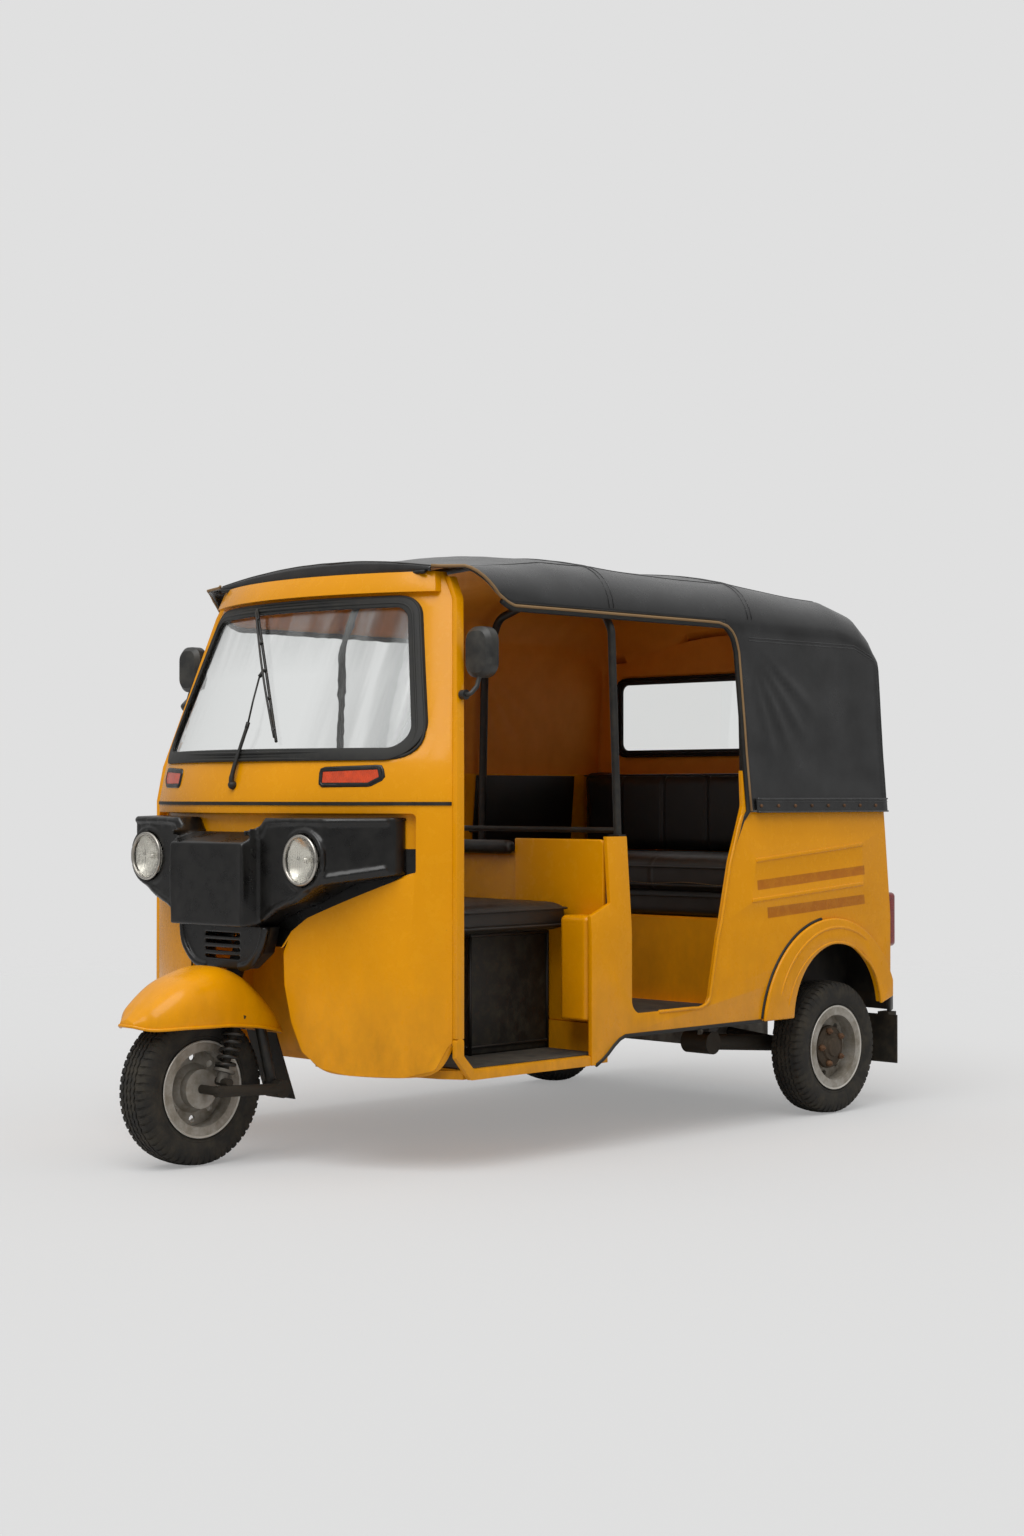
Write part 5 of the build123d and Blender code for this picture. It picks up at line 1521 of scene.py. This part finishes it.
def makeCanopyTrim():
    tree = BVHTree.FromObject(bpy.data.objects["canopy"], bpy.context.evaluated_depsgraph_get())
    hood = finish["hood"]

    def overBow(y):
        # seam line over the roof from gutter to gutter
        path = found(onCanopy(tree, 545 * math.sin(k / 40 * math.pi / 2), y, 0.4) for k in range(-40, 41))
        rise = [p for p in found(onSide(tree, y, z, 1, 0.4) for z in range(1500, 1580, 12))
                if p.x > path[-1].x + 0.002]
        return mirrored(rise) + path + rise[::-1]

    def seams(bm):
        paths = [overBow(y) for y in trim["doubleSeams"]]
        for sign in (1, -1):
            # shoulder seam along the roof, and the double side seam under the rear corner
            paths.append(found(onCanopy(tree, sign * trim["shoulderX"], y, 0.3)
                               for y in range(-535, 1180, 24)))
            for z in (1447, 1438):
                paths.append(found(onSide(tree, y, z - max(0, y - 1150) * 0.35, sign, 0.3)
                                   for y in range(626, 1262, 20)))
        for path in paths:
            tube(bm, path, trim["seam"] / 1000, 6)
    meshOf("canopy_seams", seams, hood)

    def hem(bm):
        # a folded band round the sides and the rear
        out = trim["hemOut"]
        sides = [canopy["hemFront"] + (trim["hemEnd"] - canopy["hemFront"]) * k / 30 for k in range(31)]
        rows = []
        for z in (trim["hemLow"], (trim["hemLow"] + trim["hemHigh"]) / 2, trim["hemHigh"]):
            row = [at(hoodX(z) + out, y, z) for y in sides]
            row += [at(x * (hoodX(z) + out - 4) / 604, canopy["rearY"] + out, z)
                    for x in range(600, -601, -40)]
            row += [at(-(hoodX(z) + out), y, z) for y in reversed(sides)]
            rows.append([bm.verts.new(p) for p in row])
        inner = [[bm.verts.new(v.co - Vector((v.co.x, max(0, v.co.y), 0)).normalized() * 0.0035) for v in row]
                 for row in rows]
        for group, flip in ((rows, False), (inner, True)):
            for first, second in zip(group, group[1:]):
                for a in range(len(first) - 1):
                    quad = (first[a], first[a + 1], second[a + 1], second[a])
                    bm.faces.new(quad[::-1] if flip else quad)
        for outer, under in ((rows[0], inner[0]), (rows[-1], inner[-1])):
            for a in range(len(outer) - 1):
                bm.faces.new((outer[a], under[a], under[a + 1], outer[a + 1]))
        for end in (0, -1):
            for r in range(2):
                bm.faces.new((rows[r][end], rows[r + 1][end], inner[r + 1][end], inner[r][end]))
    meshOf("canopy_hem", hem, hood, angle=40)

    def hemRolls(bm):
        out = trim["hemOut"] + 0.8
        for z, thick in ((trim["hemHigh"] - 1, 0.0026), (trim["hemLow"] + 2, 0.0026),
                         (trim["hemHigh"] - 10, 0.0009)):
            path = [at(hoodX(z) + out, y, z) for y in range(canopy["hemFront"], trim["hemEnd"], 24)]
            path += [at(hoodX(z) + out - 3, 1270, z), at(hoodX(z) - 8, canopy["rearY"] + out + 0.4, z)]
            path += [at(x, canopy["rearY"] + out + 0.4, z) for x in range(580, -581, -40)]
            path += mirrored(path[-31::-1])
            tube(bm, path, thick, 8)
    meshOf("hem_rolls", hemRolls, hood)

    def rivet(bm):
        bmesh.ops.create_uvsphere(bm, u_segments=12, v_segments=6, radius=0.0055)
    z = trim["rivetZ"]
    for sign, label in ((1, "left"), (-1, "right")):
        grown("hem_rivets_" + label, "row", rivet, finish["rust"], Count=trim["rivets"],
              Start=at(sign * (hoodX(z) + trim["hemOut"]), canopy["hemFront"] + 16, z),
              Step=Vector((0, trim["rivetStep"], 0)))
    grown("hem_rivets_rear", "row", rivet, finish["rust"], Count=trim["rearRivets"],
          Start=at(-570, canopy["rearY"] + trim["hemOut"], z), Step=Vector((trim["rearRivetStep"], 0, 0)))

    def gutterPath(sign, out, drop):
        path = []
        for y in list(range(-550, -360, 15)) + list(range(-360, 500, 40)):
            x, z = aboveGutter(y)[0]
            path.append(at(sign * (x + out), y, z - drop))
        return path

    def openingPath(sign, out, forward):
        return [at(sign * (hoodX(z) + out), openingY(z) - forward, z)
                for z in (1476, 1462, 1445, 1430, 1400, 1350, 1280, 1190, 1100, 1010, 930)]

    def piping(bm):
        for sign in (1, -1):
            tube(bm, gutterPath(sign, 0.5, 0) + openingPath(sign, 0.5, 2), trim["piping"] / 1000, 10)
    meshOf("gutter_piping", piping, finish["piping"])

    def rubberStrip(bm):
        for sign in (1, -1):
            path = gutterPath(sign, -4, 8)[9:] + openingPath(sign, -6, 8)
            path += [at(sign * 611, 560, 905), at(sign * 616, 510, 820)]
            tube(bm, path, 0.0075, 10)
    meshOf("opening_rubber", rubberStrip, finish["seal"])

    def frontBead(bm):
        path = [at(x, -556, 1573) for x in range(-430, 431, 20)]
        tube(bm, path, 0.0055, 10)
        tube(bm, found(onCanopy(tree, x, -546, 0.0) for x in range(-460, 461, 20)), 0.0035, 8)
    meshOf("canopy_front_bead", frontBead, finish["seal"])


makeCanopyTrim()
print("canopy trim made")


# the pan behind the lamps is dark, and the cowl's lobes have a rolled edge

cowlForm = {"nose": -868, "sag": 231, "half": 620,
            "lean": ((247, 0), (961, 0), (1060, 22), (1500, 206), (1575, 240)),
            "panDark": 838, "panFoot": 480, "panHalf": 538, "proud": 1.6, "roll": 15, "cell": 13,
            "lobeBox": (200, 620, 250, 780), "insets": (1.2, 3.5, 7, 11, 15),
            "lobe": ((197, 560), (199, 480), (221, 382), (254, 304), (305, 258), (380, 246), (520, 246),
                     (582, 264), (614, 322), (620, 380), (620, 520), (620, 700), (545, 776), (460, 742),
                     (373, 700), (270, 656),
                     (222, 622))}


def cowlY(x, z):
    # the cowl's outer face, in millimetres
    return cowlForm["nose"] + interpolate(cowlForm["lean"], z) + cowlForm["sag"] * (x / cowlForm["half"]) ** 2


def insideOutline(x, z, outline):
    inside = False
    for (x0, z0), (x1, z1) in zip(outline, outline[1:] + outline[:1]):
        if (z0 > z) != (z1 > z) and x < (x1 - x0) * (z - z0) / (z1 - z0) + x0:
            inside = not inside
    return inside


def edgeDistance(x, z, outline):
    best = 1e9
    p = Vector((x, z))
    for a, b in zip(outline, outline[1:] + outline[:1]):
        a, b = Vector(a), Vector(b)
        t = max(0, min(1, (p - a).dot(b - a) / max(1e-9, (b - a).length_squared)))
        best = min(best, (a + (b - a) * t - p).length)
    return best


def makeLobes():
    lobe = [Vector(p).to_3d() for p in cowlForm["lobe"]]
    smooth = [(p.x, p.y) for p in smoothPath(lobe, 7, closed=True)]
    outline = [(min(x, 620.5), max(z, 244)) for x, z in smooth]
    outline = resampleClosed(outline, 12)
    roll, cell = cowlForm["roll"], cowlForm["cell"]
    places = [Vector(p) for p in outline]
    count = len(places)
    for inset in cowlForm["insets"]:
        for i, p in enumerate(outline):
            tangent = (Vector(outline[(i + 1) % count]) - Vector(outline[i - 1])).normalized()
            inward = Vector((-tangent.y, tangent.x))
            q = Vector(p) + inward * inset
            if not insideOutline(q.x, q.y, outline):
                q = Vector(p) - inward * inset
            if edgeDistance(q.x, q.y, outline) > inset * 0.9:
                places.append(q)
    left, right, bottom, top = cowlForm["lobeBox"]
    for x in range(left, right, cell):
        for z in range(bottom, top, cell):
            if insideOutline(x, z, outline) and edgeDistance(x, z, outline) > roll + 5:
                places.append(Vector((x, z)))
    flat, _, faces = delaunay_2d_cdt(places, [(i, (i + 1) % count) for i in range(count)], [], 1, 0.01)[:3]
    for sign, label in ((1, "left"), (-1, "right")):
        points = []
        for p in flat:
            d = min(roll, edgeDistance(p.x, p.y, outline)) / roll
            back = roll * (1 - math.sqrt(max(0.0, 1 - (1 - d) ** 2))) * 0.8
            proud = cowlForm["proud"] * (1 - clamped((p.y - 640) / 60) * 1.6)
            side = clamped((p.x - 600) / 12) if 330 < p.y < 760 else 0.0
            back *= (1 - side)
            points.append(at(sign * p.x, cowlY(p.x, p.y) - proud + back + side * 1.2, p.y))
        piece = newPiece("lobe_skin_" + label, points,
                         [tuple(f) if sign < 0 else tuple(reversed(f)) for f in faces], finish["paint"])

        def faceFront(bm):
            if sum(f.normal.y for f in bm.faces) > 0:
                bmesh.ops.reverse_faces(bm, faces=bm.faces)
        reworked(piece, faceFront)
        modify(piece, "wall", "SOLIDIFY", thickness=0.0012, offset=-1)
        applied(piece)
        sharpen(piece, 60)

    cowl = bpy.data.objects["soft_cowl"]
    cowl.data.materials.append(finish["plastic"])

    def cutAcross(bm):
        for z in (cowlForm["panDark"], cowlForm["panFoot"]):
            bmesh.ops.bisect_plane(bm, geom=bm.verts[:] + bm.edges[:] + bm.faces[:], plane_co=at(0, 0, z),
                                   plane_no=Vector((0, 0, 1)))
    reworked(cowl, cutAcross)
    for p in cowl.data.polygons:
        x, y, z = p.center.x * 1000, (p.center.y + midY) * 1000, p.center.z * 1000
        inPan = cowlForm["panFoot"] < z < cowlForm["panDark"] and abs(x) < cowlForm["panHalf"]
        if inPan and y > cowlY(x, z) + 3 and p.normal.y < 0.7:
            p.material_index = 1
    print("lobes and pan made")


makeLobes()


# wiper, placed by sight lines through the camera on to the glass

wiperSight = {"pivot": (232, 785), "elbow": (252, 727), "tip": (263, 678), "bladeLow": (276, 738),
              "bladeHigh": (258, 613), "size": (1024, 1536), "lift": 9}


def sightPoint(tree, pixel, lift):
    # the surface point behind a pixel of the photograph's frame
    width, height = wiperSight["size"]
    look = viewDirection()
    right = look.cross(Vector((0, 0, 1))).normalized()
    up = right.cross(look)
    focal = camera["lens"] / camera["sensor"] * height
    ray = (look * focal + right * (pixel[0] - width / 2) - up * (pixel[1] - height / 2)).normalized()
    hit = tree.ray_cast(Vector(camera["place"]), ray)[0]
    return hit - ray * lift / 1000


def makeWiper():
    tree = surfaceTree("cowl", "windscreen", "windscreen_seal")
    pivot, elbow, tip, low, high = (sightPoint(tree, wiperSight[k], wiperSight["lift"])
                                    for k in ("pivot", "elbow", "tip", "bladeLow", "bladeHigh"))
    out = Vector((0, -1, 0.25)).normalized()
    lift = out * 0.016

    def build(bm):
        knuckle = pivot - out * 0.012
        lathe(bm, [(0, 0.0), (0, 0.013), (0.016, 0.011), (0.022, 0.006), (0.023, 0.0)], knuckle, out, 20)
        tube(bm, smoothPath([pivot, pivot.lerp(elbow, 0.12) + lift * 0.6, pivot.lerp(elbow, 0.5) + lift * 0.9,
                             elbow + lift], 6), [0.0072] * 7 + [0.0062] * 6 + [0.005] * 6, 10)
        tube(bm, [elbow + lift, elbow.lerp(tip, 0.5) + lift, tip + lift * 0.8], 0.0026, 8)
        tube(bm, [elbow.lerp(pivot, 0.05) + lift, elbow.lerp(tip, 0.06) + lift], 0.0056, 8)
        spine = [low.lerp(high, k / 16) + lift * (0.45 + 0.5 * math.sin(math.pi * k / 16)) for k in range(17)]
        tube(bm, spine, 0.0032, 8)
        edge = [low.lerp(high, -0.03 + 1.06 * k / 20) + lift * 0.08 for k in range(21)]
        tube(bm, edge, 0.0042, 6)
        for t in (0.06, 0.3, 0.52, 0.74, 0.94):
            p = low.lerp(high, t)
            tube(bm, [p + lift * 0.05, p + lift * (0.5 + 0.45 * math.sin(math.pi * t))], 0.0048, 8)
        middle = low.lerp(high, 0.5)
        tube(bm, [tip + lift * 0.8, middle + lift * 0.95], 0.0055, 8)

    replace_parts(meshOf("wiper_arm", build, finish["steel"]), "wiper")


makeWiper()


# ridges of the glazing rubbers

glazing = {"front": ((560, 1068), (420, 1512)), "frontRadius": 80, "frontOut": 7.5, "through": 0.018,
           "frontRidges": ((4, 0.0042), (13, 0.0026), (22, 0.0046)),
           "rearRidges": ((3, 0.0038, 1278), (12, 0.003, 1277))}  # inset, radius, y


def makeGlazing():
    def insetQuad(inset):
        (x0, z0), (x1, z1) = glazing["front"]
        slope = (x0 - x1) / (z1 - z0)
        low, high = z0 + inset, z1 - inset
        side = inset * math.hypot(1, slope)
        return [(x0 - slope * (low - z0) - side, low), (x0 - slope * (high - z0) - side, high),
                (-(x0 - slope * (high - z0) - side), high), (-(x0 - slope * (low - z0) - side), low)]

    def build(bm):
        for inset, radius in glazing["frontRidges"]:
            outline = roundedOutline(insetQuad(inset), glazing["frontRadius"] - inset, 9)
            path = [at(x, cowlY(x, z) - glazing["frontOut"], z) for x, z in resampleClosed(outline, 16)]
            tube(bm, path, radius, 8, closed=True)
    meshOf("windscreen_ridges", build, finish["seal"])

    def rearBuild(bm):
        half, low, high, radius = canopy["window"]
        for inset, thick, y in glazing["rearRidges"]:
            corners = [(half - inset, low + inset), (half - inset, high - inset),
                       (-half + inset, high - inset), (-half + inset, low + inset)]
            path = [at(x, y, z) for x, z in resampleClosed(roundedOutline(corners, radius - inset, 8), 18)]
            tube(bm, path, thick, 8, closed=True)
            path = [p - Vector((0, glazing["through"], 0)) for p in path]
            tube(bm, path, thick, 8, closed=True)
    meshOf("rear_window_ridges", rearBuild, finish["seal"])


makeGlazing()


# indicator lens ribs and frames

def makeIndicators():
    def ribs(bm):
        for sign in (1, -1):
            for x in range(312, 450, 9):
                low = 1010 + (8 if x > 430 else 0)
                high = 1041 + (x - 300) * 0.03
                path = [at(sign * x, cowlY(x, z) - 3.2, z) for z in (low, (low + high) / 2, high)]
                tube(bm, path, 0.0021, 6)
    meshOf("indicator_ribs", ribs, finish["orangeLens"])

    def frames(bm):
        for sign in (1, -1):
            corners = [(300, 1003), (296, 1046), (452, 1052), (462, 1022), (430, 1003)]
            outline = resampleClosed(roundedOutline(corners, 7, 4), 9)
            path = [at(sign * x, cowlY(x, z) - 4.5, z) for x, z in outline]
            tube(bm, path, 0.0058, 8, closed=True)
    meshOf("indicator_rims", frames, finish["plastic"])

    def sunk(bm):
        # the pressed recess round each lamp sweeps away towards the nose
        for sign in (1, -1):
            lines = ([(290, 1062), (262, 1058), (236, 1032), (196, 1004), (150, 992)],
                     [(290, 1062), (380, 1066), (458, 1064), (474, 1050), (473, 1018), (456, 998),
                      (400, 992)])
            for line in lines:
                curve = smoothPath([Vector((x, z)).to_3d() for x, z in line], 7)
                sizes = [0.0042 * math.sin(math.pi * (0.06 + 0.88 * k / (len(curve) - 1))) + 0.0006
                         for k in range(len(curve))]
                tube(bm, [at(sign * p.x, cowlY(p.x, p.y) + 2.2, p.y) for p in curve], sizes, 8)
    meshOf("indicator_recess", sunk, finish["paint"])


makeIndicators()


# body side: wheel arch ridges and bead, sill edge strip, opening lip, bolted tab

bodySide = {"flare": (952, 262, 342), "flareArc": (0, 82, -0.5), "ridgeCentre": (966, 282), "ridgeOut": -2.4,
            "ridges": ((292, 14, 128, 0.0052), (246, 8, 150, 0.0048))}  # radius, start, end, thickness


def makeSideTrim():
    tree = surfaceTree("side_panel_left", "wheel_arches", "side_boxes", "door_surrounds")

    def firstOf(places):
        return found(places)[:1]

    def panelAt(y, z, out, innermost):
        # a point of the left body side, unless the ray passes on to something inside
        p = onSide(tree, y, z, 1, out)
        return p if p is not None and p.x > innermost else None

    def arcPath(centre, radius, start, end, out, count=44):
        angles = [math.radians(start + (end - start) * k / count) for k in range(count + 1)]
        return found(panelAt(centre[0] - radius * math.cos(a), centre[1] + radius * math.sin(a), out, 0.58)
                     for a in angles)

    def ridges(bm):
        for sign in (1, -1):
            for radius, start, end, thick in bodySide["ridges"]:
                path = arcPath(bodySide["ridgeCentre"], radius, start, end, bodySide["ridgeOut"])
                sizes = [thick * min(1, 0.15 + 3 * math.sin(math.pi * k / (len(path) - 1)))
                         for k in range(len(path))]
                tube(bm, mirrored(path, sign), sizes, 8)
    meshOf("arch_ridges", ridges, finish["paint"])

    def bead(bm):
        for sign in (1, -1):
            path = arcPath(bodySide["flare"][:2], bodySide["flare"][2], *bodySide["flareArc"])
            tube(bm, mirrored(path, sign), 0.0052, 8)
    meshOf("arch_bead", bead, finish["seal"])

    def lowestOf(y):
        return firstOf(panelAt(y, z, -1, 0.6) for z in range(232, 420, 4))

    def lowEdge(bm):
        path = [p for y in range(-110, 620, 24) for p in lowestOf(y)]
        for sign in (1, -1):
            tube(bm, mirrored(path, sign), 0.0055, 8)
    meshOf("sill_strip", lowEdge, finish["seal"])

    def lip(bm):
        # folded lip along the passengers' opening, found on the panel's own edge
        rearEdge = [p for z in range(920, 380, -18)
                    for p in firstOf(panelAt(y, z, -1.5, 0.58) for y in range(300, 640, 4))]
        foot = int((rearEdge[-1].y + midY) * 1000) - 6
        floorEdge = [p for y in range(foot, 150, -18)
                     for p in firstOf(panelAt(y, z, -1.5, 0.58) for z in range(420, 300, -3))]
        path = smoothPath((rearEdge + floorEdge)[::2], 4)
        for sign in (1, -1):
            tube(bm, mirrored(path, sign), 0.0052, 8)
    meshOf("opening_lip", lip, finish["paint"])

    def tabs(bm):
        foot = lowestOf(330)[0]
        for sign in (1, -1):
            low = Vector((sign * foot.x - 0.004, foot.y - 0.009, foot.z - 0.02))
            roundedBox(bm, low, low + Vector((0.008, 0.018, 0.024)), 0.003, 2)
            head = Vector((sign * (foot.x + 0.004), foot.y, foot.z - 0.010))
            lathe(bm, [(0, 0.0), (0, 0.006), (0.005, 0.005), (0.006, 0.0)], head, Vector((sign, 0, 0)), 8)
    meshOf("sill_tab", tabs, finish["iron"])


makeSideTrim()


# handlebar grips, levers, dial

def makeControls():
    reach = Vector((80, 50, -12)).normalized()
    for sign, label in ((1, "left"), (-1, "right")):
        axis = Vector((sign * reach.x, reach.y, reach.z))
        end = at(sign * 270, -1045 + 915 * math.tan(math.radians(21)) + 130, 925)
        section = [(-0.104, 0.0125), (-0.104, 0.019), (-0.098, 0.0195), (-0.096, 0.0155)]
        section += [(-0.092 + 0.0075 * k, 0.0158 + 0.0012 * (k % 2)) for k in range(12)]
        section += [(-0.004, 0.0165), (0.003, 0.0165), (0.006, 0.012), (0.0065, 0.0)]
        meshOf("grip_" + label, lambda bm: lathe(bm, section, end, axis, 28), finish["seal"], "steering",
               angle=50)
        root = end - axis * 0.125

        def lever(bm):
            lathe(bm, [(-0.016, 0.0125), (-0.016, 0.020), (0.012, 0.020), (0.012, 0.0125)], root, axis, 24)
            line = [root + Vector((0, -0.014, 0)), root + axis * 0.03 + Vector((0, -0.036, -0.006)),
                    root + axis * 0.08 + Vector((0, -0.040, -0.010)),
                    root + axis * 0.115 + Vector((0, -0.034, -0.012))]
            tube(bm, smoothPath(line, 6), 0.0042, 8)
        meshOf("lever_" + label, lever, finish["chromeRing"], "steering", angle=50)

    def dial(bm):
        centre = at(0, -738, 1046)
        axis = Vector((0, 0.86, 0.5)).normalized()
        lathe(bm, [(-0.05, 0.0), (-0.05, 0.040), (0.0, 0.050), (0.006, 0.050), (0.006, 0.046), (0.001, 0.045),
                   (0.001, 0.0)], centre, axis, 36)
    meshOf("instrument_pod", dial, finish["plastic"], angle=40)


makeControls()
print("details made")
